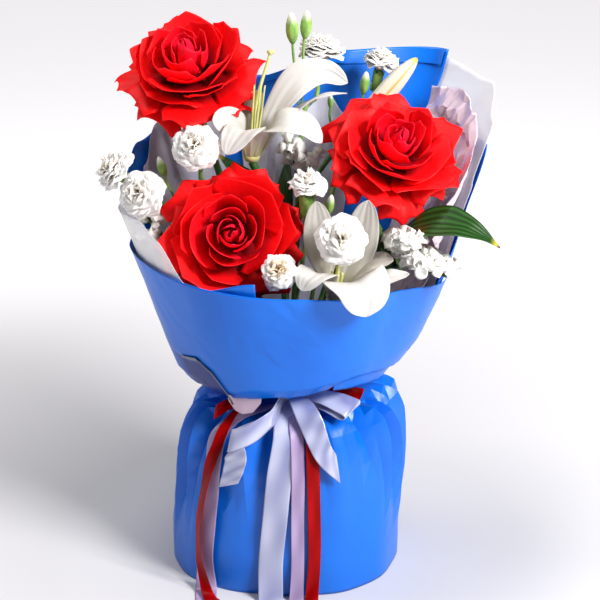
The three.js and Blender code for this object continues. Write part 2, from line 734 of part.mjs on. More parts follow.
addPiece("lily_high_petals", lilyPetals([
  { spine: [[4, 3, 2], [14, 12, 28], [36, 23, 60], [59, 28, 68], [79, 30, 58]], width: 30, face: [-0.3, -0.8, 0.5] },
  { spine: [[5, 0, 2], [21, 1, 25], [40, 5, 42], [58, 8, 52], [78, 10, 54]], width: 23, face: [-0.3, 0.1, 1] },
  { spine: [[3, -4, 2], [11, -10, 24], [27, -14, 36], [44, -16, 33], [55, -20, 21]], width: 34, face: [0.1, -0.5, 0.9] },
  { spine: [[-1, -5, 2], [0, -13, 22], [-5, -24, 32], [-12, -32, 26], [-19, -38, 15]], width: 34, face: [-0.3, -0.5, 0.8] },
  { spine: [[-5, -1, 2], [-10, -5, 22], [-19, -10, 34], [-31, -15, 38]], width: 30, face: [0.3, -0.85, 0.5] },
  { spine: [[-2, 5, 2], [-2, 7, 26], [2, 7, 46], [7, 7, 57]], width: 17, face: [0, -1, 0.2] },
]), material("lily"), LILY_HIGH);
addPiece("lily_high_stamens", lilyStamens(90, [16, -4], 5), material("stamen"), LILY_HIGH);

addPiece("lily_low_petals", lilyPetals([
  {
    spine: [[2, -4, 2], [8, -20, 18], [14, -38, 29], [21, -48, 24], [24, -51, 5]],
    width: 46, face: [0.1, -0.5, 1], trough: 0.3, tipWidth: 0.32,
  },
  { spine: [[5, 1, 2], [16, 2, 20], [30, -2, 32], [46, -8, 36]], width: 30, face: [-0.4, -0.2, 1] },
  { spine: [[5, -3, 2], [20, -12, 16], [40, -18, 25], [58, -20, 29]], width: 20, face: [-0.2, -0.3, 1] },
  { spine: [[-4, -3, 2], [-9, -16, 20], [-14, -28, 33], [-22, -36, 31], [-27, -39, 22]], width: 32, face: [-0.4, -0.6, 0.8] },
  { spine: [[-4, 3, 2], [-10, 5, 30], [-14, 5, 58], [-17, 6, 80]], width: 15, face: [0.2, -1, 0.1] },
  { spine: [[2, 4, 2], [11, 6, 28], [20, 6, 52], [25, 4, 72]], width: 21, face: [-0.2, -1, 0.1] },
]), material("lily"), LILY_LOW);
addPiece("lily_low_stamens", lilyStamens(31, [3, -5], 3), material("stamen"), LILY_LOW);

// The lily stem through the middle, with the pedicel of the bud and two leaves.
const BUD = facing([58, 46, 375], [0.66, 0.1, 0.74]);
const forkHigh = vector(-5, 2, 310);
addPiece("lily_high_stem", joined([
  stem([
    slotAt([0, 0], 0), slotAt([0, 0], 150), vector(0, 1, 220), forkHigh,
    from(LILY_HIGH, 8, 2, -18), from(LILY_HIGH, 0, 0, -2.6),
  ], STEM.lily, 9, 6),
  stalk([vector(-4, 2, 296), vector(26, 30, 338), from(BUD, 0, 0, -14), from(BUD, 0, 0, -1.2)], 2.2, 6),
  leaf(vector(-6, 0, 314), vector(-56, -2, 366), 20, 6),
  leaf(vector(-4, 0, 288), vector(2, 56, 350), 16, 6, vector(0, 0, 1), 4, 0, 1),
]), material("lilyGreen"));
addPiece(
  "lily_bud",
  turnedProfile([[0, -0.7], [3.6, 0], [6.4, 14], [8.6, 38], [7.6, 58], [4, 74], [0, 80]], 8),
  material("bud"),
  BUD,
);

// The low lily's stem, with the long leaf that hangs out over the right edge.
addPiece("lily_low_stem", joined([
  stem(stemPoints([1, 0], LILY_LOW, 22, 2.6), STEM.lily, 8, 6),
  stalk([vector(34, -56, 228), vector(60, -54, 262), vector(86, -46, 298), vector(101, -43, 312)], 1.6, 5, 5),
  leaf(vector(97, -41, 308), vector(172, -60, 304), 31, 14, vector(0.1, -0.5, 0.9), 7, 0.2),
]), material("lilyGreen"));

// ---- Carnations ----

// A carnation head is one folded surface: from its foot out under each layer of petals, over the frilled edge and
// back in to the next. Each row is [share of the size, height, how far the edge is frilled and notched].
const RUFFLES = 12; // teeth and waves round every layer

function carnationBloom(size, openness, seed) {
  const draw = seeded(seed);
  const s = size / CARNATION_SIZE;
  const low = (1 - openness) * 12; // a half-open head carries its outer layers higher
  const rows = [
    [0, -0.8, 0], [0.17, -0.8, 0], [0.6, 1 + low * 0.6, 0.6], [1, 5 + low, 1], [0.97, 6.3 + low, 1],
    [0.24, 3.4 + low * 0.3, 0.2], [0.8, 10 + low, 1], [0.77, 11.3 + low, 1], [0.16, 8, 0.2],
    [0.48, 16 + low * 0.5, 1], [0.4, 17 + low * 0.5, 1], [0, 11, 0],
  ];
  const notches = Array.from({ length: RUFFLES }, () => 0.16 * draw());
  return folded(rows.length, RUFFLES, (i, k) => {
    const [share, height, frill] = rows[i];
    const wave = frill * 1.5 * (k % 2 ? 1 : -1);
    return [share * size * (1 - frill * notches[k]), height * s + wave];
  });
}

const calyxProfile = [[0, -19], [2.2, -19], [4.6, -13], [4.6, -1.6], [0, -1.6]];
const CALYX_FOOT = 18; // from a bloom's base to the foot of its calyx

function calyx(place) {
  return moved(turnedProfile(calyxProfile, 6), place);
}

// A closed green bud, its base at the place.
function greenBud(place, size = 1) {
  const profile = [[0, -1], [2.2, 0], [4.6, 7], [3.8, 15], [0, 22]];
  return moved(turnedProfile(profile.map(([r, z]) => [r * size, z * size]), 6), place);
}

// A branch that leaves the stem at a point and meets a head along its axis.
function branch(start, place, reach, radius = 1.4) {
  return stalk([start, from(place, 0, 0, -reach - 12), from(place, 0, 0, -reach + 1)], radius, 4, 5);
}

const CARNATIONS = {
  carnation_far_left: { base: [-134, -12, 350], axis: [-0.7, -0.25, 0.6], size: 21, open: 0.7, seed: 1 },
  carnation_left: { base: [-114, -27, 338], axis: [-0.35, -0.8, 0.45], size: 22, open: 1, seed: 2 },
  carnation_mid: { base: [-71, -29, 377], axis: [-0.05, -0.8, 0.55], size: 21, open: 0.9, seed: 3 },
  carnation_top: { base: [30, 62, 430], axis: [0.1, 0.45, 0.85], size: 21, open: 0.6, seed: 4 },
  carnation_back: { base: [80, 70, 417], axis: [0.3, 0.1, 0.9], size: 15, open: 0.2, seed: 5 },
  carnation_centre: { base: [18, -48, 347], axis: [0.05, -0.3, 0.95], size: 18, open: 0.6, seed: 6 },
  carnation_front: { base: [44, -86, 318], axis: [0.05, -0.85, 0.5], size: 23, open: 1, seed: 7 },
  carnation_low: { base: [-5.5, -84, 290], axis: [-0.1, -0.75, 0.6], size: 15, open: 0.4, seed: 8 },
};
for (const [name, flower] of Object.entries(CARNATIONS)) {
  flower.place = facing(flower.base, flower.axis);
  const geometry = carnationBloom(flower.size, flower.open, flower.seed);
  addPiece(name, geometry, material("carnation"), flower.place);
}
const head = (name) => CARNATIONS[name].place;

// A spray: the stem to its first bloom, branches to the others, buds, and pairs of narrow leaves.
function spray(slot, first, fork, others, buds, leaves, via = []) {
  const main = stemPoints(slot, first, 14, CALYX_FOOT - 1, [...via, fork]);
  const parts = [stem(main, STEM.carnation, 8), calyx(first)];
  for (const place of others) parts.push(branch(fork, place, CALYX_FOOT), calyx(place));
  for (const [place, size] of buds) parts.push(branch(fork, place, 0, 1.1), greenBud(place, size));
  for (const [foot, tip] of leaves) parts.push(leaf(foot, tip, 6, 5, vector(0, 0.3, 1), 3, 0, 1));
  return joined(parts);
}

const green = material("carnationGreen");
addPiece("spray_left", spray(
  [2, 6], head("carnation_left"), vector(-76, -12, 300), [head("carnation_far_left")],
  [[facing([-98, -19, 352], [-0.3, -0.1, 1]), 0.8]],
  [[vector(-62, -10, 280), vector(-92, 16, 318)]],
), green);
addPiece("spray_mid", spray(
  [2, 5], head("carnation_mid"), vector(-66, 14, 318), [],
  [], [[vector(-57.6, 14.4, 296), vector(-72, 32, 336)]],
), green);
addPiece("spray_top", spray(
  [2, 3], head("carnation_top"), vector(13, 42, 372), [],
  [[facing([6, 40, 450], [-0.05, 0, 1]), 1.15], [facing([16, 45, 453], [0.1, 0, 1]), 1.05]],
  [[vector(10, 36, 340), vector(-16, 52, 382)]],
), green);
addPiece("spray_back", spray(
  [2, 2], head("carnation_back"), vector(48, 64, 346), [],
  [[facing([66, 62, 402], [0.15, 0, 1]), 0.9], [facing([38, 52, 392], [0, 0, 1]), 0.55]],
  [[vector(41.3, 55.8, 322), vector(68, 66, 366)]],
), green);
addPiece("spray_centre", spray(
  [2, 8], head("carnation_centre"), vector(17, -36, 304), [],
  [[facing([34, -46, 328], [0.2, -0.3, 1]), 0.85]], [],
), green);
addPiece("spray_front", spray(
  [2, 0.35], head("carnation_front"), vector(39, -38, 284), [], [], [],
), green);
addPiece("spray_low", spray(
  [2, 7.3], head("carnation_low"), vector(0, -44, 256), [], [], [],
), green);

// ---- Statice ----

// A flat-topped spray: winged twigs with papery four-sided cups crowded along their upper sides.
function statice(slot, fork, twigs, cupSize, seed) {
  const draw = seeded(seed);
  const parts = [stem([slotAt(slot, 0), slotAt(slot, 150), slotAt(slot, 182), fork], STEM.statice, 7)];
  for (const { tip, cups } of twigs) {
    const knee = fork.clone().lerp(tip, 0.5).add(vector(0, 0, 6));
    const run = new THREE.CatmullRomCurve3([fork, knee, tip]);
    parts.push(stalk([fork, knee, tip], 1.5, 4, 4));
    for (let k = 0; k < cups; k++) {
      const p = run.getPoint(0.52 + (0.48 * k) / (cups - 1));
      const swing = k * 137.5 + draw() * 30;
      const lean = around(swing, 0.75, 0.35 + 0.6 * draw());
      const cup = new THREE.ConeGeometry(cupSize * (0.85 + 0.3 * draw()), cupSize * 2.1, 4)
        .rotateX(-Math.PI / 2)
        .translate(0, 0, cupSize * 1.0);
      parts.push(moved(cup, facing(p.toArray(), lean.toArray())));
    }
  }
  return joined(parts);
}

addPiece("statice_right", statice([2, 0.75], vector(88, -38, 280), [
  { tip: vector(96, -70, 312), cups: 5 },
  { tip: vector(114, -77, 301), cups: 5 },
  { tip: vector(130, -60, 292), cups: 5 },
], 6.6, 4), material("statice"));
addPiece("statice_centre", statice([1, 2.4], vector(13, 28, 318), [
  { tip: vector(4, 16, 366), cups: 4 },
  { tip: vector(22, 12, 358), cups: 4 },
], 5, 9), material("statice"));
addPiece("statice_left", statice([2, 6.6], vector(-80, -34, 268), [
  { tip: vector(-117, -22, 320), cups: 4 },
  { tip: vector(-116.4, -35.2, 302), cups: 4 },
], 4.2, 6), material("statice"));

// ---- The tie round the stems, under the film ----

addPiece(
  "binding_tie",
  turnedProfile([[20, 148], [22.4, 149], [22.4, 157], [20, 158], [20, 148]], 20),
  material("twine", 0.9),
);

export default bouquet;
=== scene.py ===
# A hand-tied bouquet of red roses, white lilies, spray carnations and statice in blue film, with satin ribbons.
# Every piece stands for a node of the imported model. Sizes below are in millimetres unless they say otherwise;
# an angle round the bouquet is 0 at the front and 90 degrees at its right.
import math
import random

import bmesh
import bpy
from mathutils import Matrix, Vector, noise


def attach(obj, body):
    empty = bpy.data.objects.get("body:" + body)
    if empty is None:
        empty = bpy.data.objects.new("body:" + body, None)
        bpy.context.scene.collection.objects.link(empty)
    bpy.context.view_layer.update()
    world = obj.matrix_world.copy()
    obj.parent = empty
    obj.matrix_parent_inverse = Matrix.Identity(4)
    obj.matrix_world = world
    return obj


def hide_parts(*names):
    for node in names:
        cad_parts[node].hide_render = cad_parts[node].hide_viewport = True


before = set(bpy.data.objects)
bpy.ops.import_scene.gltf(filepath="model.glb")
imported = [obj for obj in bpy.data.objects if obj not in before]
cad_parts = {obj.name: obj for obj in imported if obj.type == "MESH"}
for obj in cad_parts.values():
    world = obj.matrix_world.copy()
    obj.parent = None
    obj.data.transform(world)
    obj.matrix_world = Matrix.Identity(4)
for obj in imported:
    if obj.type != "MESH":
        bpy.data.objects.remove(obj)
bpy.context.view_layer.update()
mm = 0.001
print("frame loaded:", len(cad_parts), "nodes")

# Camera, floor and light

# places and sizes here are in metres, the dip in degrees, the lens and sensor in millimetres, power in watts
view = {"place": (0.012, -1.13477, 0.66843), "dip": 20.845, "lens": 85, "sensor": 36}
floorPaper = {"colour": "#d8d6d8", "rough": 0.55, "half": 4, "glow": 1.05, "glowFrom": 0.22, "glowTo": 1.0}
studio = {"background": "#f6f5f6", "brightness": 0.17}
lamps = {
    "softbox": {"place": (0.95, -0.8, 1.15), "target": (0, 0, 0.25), "size": (0.5, 0.5), "power": 36},
    "topLight": {"place": (-0.3, 0.1, 1.7), "target": (0, 0, 0.3), "size": (0.7, 0.5), "power": 12},
    "leftRim": {"place": (-1.3, 0.3, 0.8), "target": (0, 0, 0.25), "size": (0.3, 0.9), "power": 2.2},
}


def hexColour(code):  # sRGB to linear
    channels = [int(code[i : i + 2], 16) / 255 for i in (1, 3, 5)]
    return [c / 12.92 if c <= 0.04045 else ((c + 0.055) / 1.055) ** 2.4 for c in channels] + [1]


def addNode(tree, kind, inputs=None, **settings):
    node = tree.nodes.new(kind)
    for name, value in settings.items():
        setattr(node, name, value)
    for name, value in (inputs or {}).items():
        if isinstance(value, bpy.types.NodeSocket):
            tree.links.new(value, node.inputs[name])
        else:
            node.inputs[name].default_value = value
    return node


def setRamp(node, stops):
    ramp = node.color_ramp
    while len(ramp.elements) > 1:
        ramp.elements.remove(ramp.elements[0])
    for i, (place, colour) in enumerate(stops):
        element = ramp.elements[0] if i == 0 else ramp.elements.new(place)
        element.position = place
        element.color = hexColour(colour)
    return node.outputs["Color"]


def newMaterial(name, rough, sockets=None):
    made = bpy.data.materials.new(name)
    made.use_nodes = True
    shader = made.node_tree.nodes["Principled BSDF"]
    shader.inputs["Roughness"].default_value = rough
    for socket, value in (sockets or {}).items():
        shader.inputs[socket].default_value = value
    return made, made.node_tree, shader


def perSize(size):
    return 1 / (size * mm)  # noise scale of a pattern whose cells are that many millimetres


waveBands = 3.15  # a wave texture draws about this many bands for each unit of its scale


def addCamera():
    lens = bpy.data.cameras.new("camera")
    lens.lens = view["lens"]
    lens.sensor_width = view["sensor"]
    eye = bpy.data.objects.new("camera", lens)
    eye.location = view["place"]
    eye.rotation_euler = (math.radians(90 - view["dip"]), 0, 0)
    bpy.context.scene.collection.objects.link(eye)
    bpy.context.scene.camera = eye


def addFloor():
    bm = bmesh.new()
    bmesh.ops.create_grid(bm, x_segments=1, y_segments=1, size=floorPaper["half"])
    mesh = bpy.data.meshes.new("floor")
    bm.to_mesh(mesh)
    bm.free()
    floor = bpy.data.objects.new("floor", mesh)
    bpy.context.scene.collection.objects.link(floor)
    look, tree, shader = newMaterial("paleFloor", floorPaper["rough"])
    for socket in ("Base Color", "Emission Color"):
        shader.inputs[socket].default_value = hexColour(floorPaper["colour"])
    # the paper glows further out, as an evenly lit sheet does
    place = addNode(tree, "ShaderNodeTexCoord")
    reach = addNode(tree, "ShaderNodeVectorMath", {0: place.outputs["Object"]}, operation="LENGTH")
    span = {"From Min": floorPaper["glowFrom"], "From Max": floorPaper["glowTo"], "To Max": floorPaper["glow"]}
    glow = addNode(tree, "ShaderNodeMapRange", {"Value": reach.outputs["Value"], **span})
    tree.links.new(glow.outputs["Result"], shader.inputs["Emission Strength"])
    mesh.materials.append(look)


def addLamp(name, spec):
    lamp = bpy.data.lights.new(name, "AREA")
    lamp.shape = "RECTANGLE"
    lamp.size, lamp.size_y = spec["size"]
    lamp.energy = spec["power"]
    holder = bpy.data.objects.new(name, lamp)
    holder.location = spec["place"]
    aim = Vector(spec["place"]) - Vector(spec["target"])
    holder.rotation_euler = aim.to_track_quat("Z", "Y").to_euler()
    bpy.context.scene.collection.objects.link(holder)


addCamera()
addFloor()
for name, spec in lamps.items():
    addLamp(name, spec)
world = bpy.data.worlds.new("studio")
bpy.context.scene.world = world
world.use_nodes = True
sky = world.node_tree.nodes["Background"]
sky.inputs["Color"].default_value = hexColour(studio["background"])
sky.inputs["Strength"].default_value = studio["brightness"]
bpy.context.scene.view_settings.view_transform = "Standard"
print("studio set")

# Shaping tools

shaping = {"weld": 2e-6, "ground": 0.1, "noiseRadius": 100, "curveSteps": 80, "blade": 0.4}  # the weld is in metres


def lerp(a, b, t):
    return a + (b - a) * t


def along(stops, place):  # a value read from (place, value) stops, smooth between them
    if place <= stops[0][0]:
        return stops[0][1]
    for (a, low), (b, high) in zip(stops, stops[1:]):
        if place <= b:
            t = (place - a) / (b - a)
            return lerp(low, high, t * t * (3 - 2 * t))
    return stops[-1][1]


def around(degrees, radius, height):
    turn = math.radians(degrees)
    return Vector((radius * math.sin(turn), -radius * math.cos(turn), height))


def curveThrough(points):
    points = [Vector(p) for p in points]
    knots = [points[0] * 2 - points[1], *points, points[-1] * 2 - points[-2]]

    def at(t):
        place = min(max(t, 0), 1) * (len(points) - 1)
        i = min(int(place), len(points) - 2)
        s = place - i
        a, b, c, d = knots[i : i + 4]
        return 0.5 * (2 * b + (c - a) * s + (2 * a - 5 * b + 4 * c - d) * s * s + (3 * b - a - 3 * c + d) * s**3)

    return at


def curveLength(points):
    curve = curveThrough(points)
    steps = shaping["curveSteps"]
    return sum((curve((i + 1) / steps) - curve(i / steps)).length for i in range(steps))


def bezier(points, t):
    s = 1 - t
    weights = (s**3, 3 * s * s * t, 3 * s * t * t, t**3)
    return [sum(w * p[k] for w, p in zip(weights, points)) for k in range(2)]


def facing(base, axis, spin=0):  # the frame of a flower whose own Z points along the axis
    turn = Vector((0, 0, 1)).rotation_difference(Vector(axis).normalized())
    return Matrix.Translation(base) @ turn.to_matrix().to_4x4() @ Matrix.Rotation(math.radians(spin), 4, "Z")


def newShape():  # its tone says how far a place takes the second colour of its material
    bm = bmesh.new()
    bm.loops.layers.uv.new("UVMap")
    bm.verts.layers.float.new("tone")
    return bm


def addGrid(bm, columns, rows, spot, tone=0, closed=False):  # a grid laid on the surface spot(u, v)
    made = bmesh.ops.create_grid(bm, x_segments=columns, y_segments=rows, size=0.5, calc_uvs=True)["verts"]
    layer = bm.verts.layers.float["tone"]
    for vert in made:
        vert.co = spot(vert.co.x + 0.5, vert.co.y + 0.5) * mm
        vert[layer] = tone
    if closed:
        bmesh.ops.remove_doubles(bm, verts=made, dist=shaping["weld"])
        made = [vert for vert in made if vert.is_valid]
    return made


# soft is how many times the creases are smoothed
def addCreased(bm, columns, rows, warp, place, soft, cuts=3, closed=False, toneAt=None):
    # a film laid flat as cells with straight creases between them by warp(u, v), then put in place by place(u, v, lift)
    made = bmesh.ops.create_grid(bm, x_segments=columns, y_segments=rows, size=0.5, calc_uvs=True)["verts"]
    for vert in made:
        vert.co = warp(vert.co.x + 0.5, vert.co.y + 0.5)
    bmesh.ops.triangulate(bm, faces=bm.faces, quad_method="ALTERNATE")
    bmesh.ops.subdivide_edges(bm, edges=bm.edges, cuts=cuts, use_grid_fill=True)
    inner = [vert for vert in bm.verts if not vert.is_boundary]
    for _ in range(soft):
        bmesh.ops.smooth_vert(bm, verts=inner, factor=0.5, use_axis_z=True)
    layer = bm.verts.layers.float["tone"]
    for vert in bm.verts:
        if toneAt:
            vert[layer] = toneAt(vert.co.x, vert.co.y)
        vert.co = place(*vert.co) * mm
    if closed:
        bmesh.ops.remove_doubles(bm, verts=bm.verts, dist=shaping["weld"])


def ripple(angle, height, size, seed):  # a random lift that meets itself round the bouquet
    turn = math.radians(angle)
    radius = shaping["noiseRadius"]
    spot = Vector((math.sin(turn) * radius, -math.cos(turn) * radius, height)) / size
    return noise.noise(spot + Vector((seed, seed, 0)))


def addTube(bm, points, radius, sides, rings, tone=0, ribs=0):  # radius is a number or a function of the way
    curve = curveThrough(points)
    spots = [curve(i / rings) for i in range(rings + 1)]
    ahead = [(spots[min(i + 1, rings)] - spots[max(i - 1, 0)]).normalized() for i in range(rings + 1)]
    frames = []
    side = ahead[0].orthogonal().normalized()
    for point, direction in zip(spots, ahead):
        side = (side - direction * side.dot(direction)).normalized()
        frames.append((point, side, direction.cross(side)))
    width = radius if callable(radius) else lambda t: radius

    def spot(u, v):
        point, side, lift = frames[round(v * rings)]
        turn = 2 * math.pi * u
        r = width(v) * (1 + ribs * math.cos(4 * turn))  # ribs give the stem four wings
        made = point + side * (r * math.cos(turn)) + lift * (r * math.sin(turn))
        return Vector((made.x, made.y, max(made.z, shaping["ground"])))

    made = addGrid(bm, sides, rings, spot, tone, closed=True)
    edges = {edge for vert in made for edge in vert.link_edges if edge.is_boundary}
    bmesh.ops.holes_fill(bm, edges=list(edges), sides=sides)


def addTurned(bm, profile, place, sides, shape=None):  # profile is (radius, height) stops from pole to pole
    rows = len(profile) - 1

    def spot(u, v):
        r, z = profile[round(v * rows)]
        point = around(-360 * u, r, z)
        if shape:
            point = shape(point, u, v)
        return place @ point

    return addGrid(bm, sides, rows, spot, closed=True)


def keeled(count, depth, second=0, size=1):  # shapes a turned form with that many keels
    def shape(point, u, v):
        turn = 2 * math.pi * count * u
        pull = 1 + depth * math.cos(turn) + second * math.cos(2 * turn)
        return Vector((point.x * pull, point.y * pull, point.z)) * size

    return shape


def finishPiece(name, bm, look, nodes, wall=0, rounds=0, sharp=0):
    mesh = bpy.data.meshes.new(name)
    bm.to_mesh(mesh)
    bm.free()
    mesh.shade_smooth()
    if sharp:
        mesh.set_sharp_from_angle(angle=math.radians(sharp))
    mesh.materials.append(looks[look])
    piece = bpy.data.objects.new(name, mesh)
    bpy.context.scene.collection.objects.link(piece)
    if rounds:
        finer = piece.modifiers.new("finer", "SUBSURF")
        finer.levels = finer.render_levels = rounds
    if wall:
        skin = piece.modifiers.new("skin", "SOLIDIFY")
        skin.thickness = wall * mm
        skin.offset = 0
    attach(piece, "root")
    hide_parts(*nodes)
    return piece


# Materials


def filmMaterial(name, light, dark, rough, crinkle, cell, sockets=None):
    # polypropylene wrapping film: an even matt sheet whose small crinkles catch the light; where the tone attribute is
    # set, its colour is multiplied by dark navy as painted shade inside the folded-in corner
    look, tree, shader = newMaterial(name, rough, sockets)
    place = addNode(tree, "ShaderNodeTexCoord")
    broad = addNode(tree, "ShaderNodeTexNoise", {"Vector": place.outputs["Object"], "Scale": perSize(90), "Detail": 2})
    ramp = addNode(tree, "ShaderNodeValToRGB", {"Fac": broad.outputs["Fac"]})
    # painted shade: the tone attribute mixes dark navy #4a5488 into the film, for the shade inside the tucked fold
    tone = addNode(tree, "ShaderNodeAttribute", attribute_name="tone")  # the inside of a fold is darker
    fold = addNode(tree, "ShaderNodeMix", data_type="RGBA", blend_type="MULTIPLY")
    tree.links.new(tone.outputs["Fac"], fold.inputs[0])
    tree.links.new(setRamp(ramp, [(0.3, dark), (0.7, light)]), fold.inputs[6])
    fold.inputs[7].default_value = hexColour("#4a5488")
    tree.links.new(fold.outputs[2], shader.inputs["Base Color"])
    fine = addNode(tree, "ShaderNodeTexNoise", {"Vector": place.outputs["Object"], "Scale": perSize(cell), "Detail": 4})
    bump = addNode(
        tree, "ShaderNodeBump", {"Height": fine.outputs["Fac"], "Strength": crinkle, "Distance": 0.6 * mm}
    )
    tree.links.new(bump.outputs["Normal"], shader.inputs["Normal"])
    return look


def petalMaterial(name, stops, veins, relief, rough=0.55, sockets=None, shade=None, blend="MULTIPLY"):
    # petal skin: coloured from root to rim along the petal, with broad veins that fan out from its foot
    look, tree, shader = newMaterial(name, rough, sockets)
    place = addNode(tree, "ShaderNodeTexCoord")
    parts = addNode(tree, "ShaderNodeSeparateXYZ", {"Vector": place.outputs["UV"]})
    blotch = addNode(tree, "ShaderNodeTexNoise", {"Vector": place.outputs["Object"], "Scale": perSize(12), "Detail": 3})
    shift = addNode(
        tree, "ShaderNodeMath", {0: blotch.outputs["Fac"], 1: 0.16, 2: parts.outputs["Y"]}, operation="MULTIPLY_ADD"
    )
    ramp = addNode(tree, "ShaderNodeValToRGB", {"Fac": shift.outputs["Value"]})
    colour = setRamp(ramp, stops)
    # the tone attribute turns some petals toward this colour: a rose's heart to a lighter pinkish crimson, painted
    # light shining through its inner petals; a carnation's inner layers to cream; the lily bud's keels to yellow; some
    # lily tepals to a darker beige
    if shade:  # the tone attribute turns the petals nearer the heart to this colour
        tone = addNode(tree, "ShaderNodeAttribute", attribute_name="tone")
        mix = addNode(tree, "ShaderNodeMix", data_type="RGBA", blend_type=blend)
        tree.links.new(tone.outputs["Fac"], mix.inputs[0])
        tree.links.new(colour, mix.inputs[6])
        mix.inputs[7].default_value = hexColour(shade)
        colour = mix.outputs[2]
    tree.links.new(colour, shader.inputs["Base Color"])
    drift = {"Distortion": 1.5, "Detail": 2, "Detail Scale": 1.5}  # the veins waver
    wave = addNode(
        tree,
        "ShaderNodeTexWave",
        {"Vector": place.outputs["UV"], "Scale": veins / waveBands, **drift},
        bands_direction="X",
    )
    bump = addNode(
        tree, "ShaderNodeBump", {"Height": wave.outputs["Fac"], "Strength": relief, "Distance": 0.5 * mm}
    )
    tree.links.new(bump.outputs["Normal"], shader.inputs["Normal"])
    return look


def greenMaterial(name, light, dark, cell=6, rough=0.5):
    # plant stem and calyx: waxy green, streaked along its length
    look, tree, shader = newMaterial(name, rough)
    place = addNode(tree, "ShaderNodeTexCoord")
    stretch = addNode(
        tree, "ShaderNodeMapping", {"Vector": place.outputs["Object"], "Scale": (1, 1, 0.25)}, vector_type="POINT"
    )
    streak = addNode(
        tree, "ShaderNodeTexNoise", {"Vector": stretch.outputs["Vector"], "Scale": perSize(cell), "Detail": 3}
    )
    ramp = addNode(tree, "ShaderNodeValToRGB", {"Fac": streak.outputs["Fac"]})
    tone = addNode(tree, "ShaderNodeAttribute", attribute_name="tone")  # the white petals at the tip of a bud
    mix = addNode(tree, "ShaderNodeMix", data_type="RGBA")
    tree.links.new(tone.outputs["Fac"], mix.inputs[0])
    tree.links.new(setRamp(ramp, [(0.35, dark), (0.65, light)]), mix.inputs[6])
    mix.inputs[7].default_value = hexColour("#eceadf")
    tree.links.new(mix.outputs[2], shader.inputs["Base Color"])
    bump = addNode(
        tree, "ShaderNodeBump", {"Height": streak.outputs["Fac"], "Strength": 0.3, "Distance": 0.4 * mm}
    )
    tree.links.new(bump.outputs["Normal"], shader.inputs["Normal"])
    return look


def leafMaterial(name, veins):
    # lily leaf: glossy dark green with sunken parallel veins, yellow then brown at the very tip
    look, tree, shader = newMaterial(name, 0.42, {"Specular IOR Level": 0.22})
    place = addNode(tree, "ShaderNodeTexCoord")
    parts = addNode(tree, "ShaderNodeSeparateXYZ", {"Vector": place.outputs["UV"]})
    wave = addNode(
        tree,
        "ShaderNodeTexWave",
        {"Vector": place.outputs["UV"], "Scale": veins / waveBands, "Distortion": 0.4, "Detail": 1},
        bands_direction="X",
    )
    stripe = addNode(tree, "ShaderNodeValToRGB", {"Fac": wave.outputs["Fac"]})
    green = setRamp(stripe, [(0.1, "#17330e"), (0.6, "#1f4415"), (1, "#2a531e")])
    ripe = addNode(tree, "ShaderNodeValToRGB", {"Fac": parts.outputs["Y"]})
    tint = setRamp(ripe, [(0.0, "#000000"), (0.9, "#000000"), (0.955, "#ffffff")])
    tip = addNode(tree, "ShaderNodeValToRGB", {"Fac": parts.outputs["Y"]})
    dry = setRamp(tip, [(0.9, "#9aa32b"), (0.965, "#c7b53a"), (0.985, "#5c3316")])
    mix = addNode(tree, "ShaderNodeMix", data_type="RGBA")
    tree.links.new(tint, mix.inputs[0])
    tree.links.new(green, mix.inputs[6])
    tree.links.new(dry, mix.inputs[7])
    tree.links.new(mix.outputs[2], shader.inputs["Base Color"])
    bump = addNode(
        tree, "ShaderNodeBump", {"Height": wave.outputs["Fac"], "Strength": 0.5, "Distance": 0.6 * mm}
    )
    tree.links.new(bump.outputs["Normal"], shader.inputs["Normal"])
    return look


def satinMaterial(name, light, dark, sockets):
    # polyester satin: light and dark bands stretched along the ribbon are painted into its colour as painted sheen, for
    # the bright streak its long floats catch; its real threads, 0.1 mm apart, are too fine to show and are drawn 1.6 mm
    # apart
    look, tree, shader = newMaterial(name, 0.3, {"Anisotropic": 0.5, **sockets})
    place = addNode(tree, "ShaderNodeTexCoord")
    stretch = addNode(tree, "ShaderNodeMapping", {"Vector": place.outputs["UV"], "Scale": (0.5, 2.6, 1)})
    # painted sheen: broad light and dark bands along the ribbon's length
    streak = addNode(tree, "ShaderNodeTexNoise", {"Vector": stretch.outputs["Vector"], "Scale": 2, "Detail": 0})
    ramp = addNode(tree, "ShaderNodeValToRGB", {"Fac": streak.outputs["Fac"]})
    tree.links.new(setRamp(ramp, [(0.3, dark), (0.7, light)]), shader.inputs["Base Color"])
    thread = addNode(
        tree,
        "ShaderNodeTexWave",
        {"Vector": place.outputs["Object"], "Scale": perSize(1.6) / waveBands},
        bands_direction="Z",
    )
    bump = addNode(
        tree, "ShaderNodeBump", {"Height": thread.outputs["Fac"], "Strength": 0.08, "Distance": 0.1 * mm}
    )
    tree.links.new(bump.outputs["Normal"], shader.inputs["Normal"])
    return look


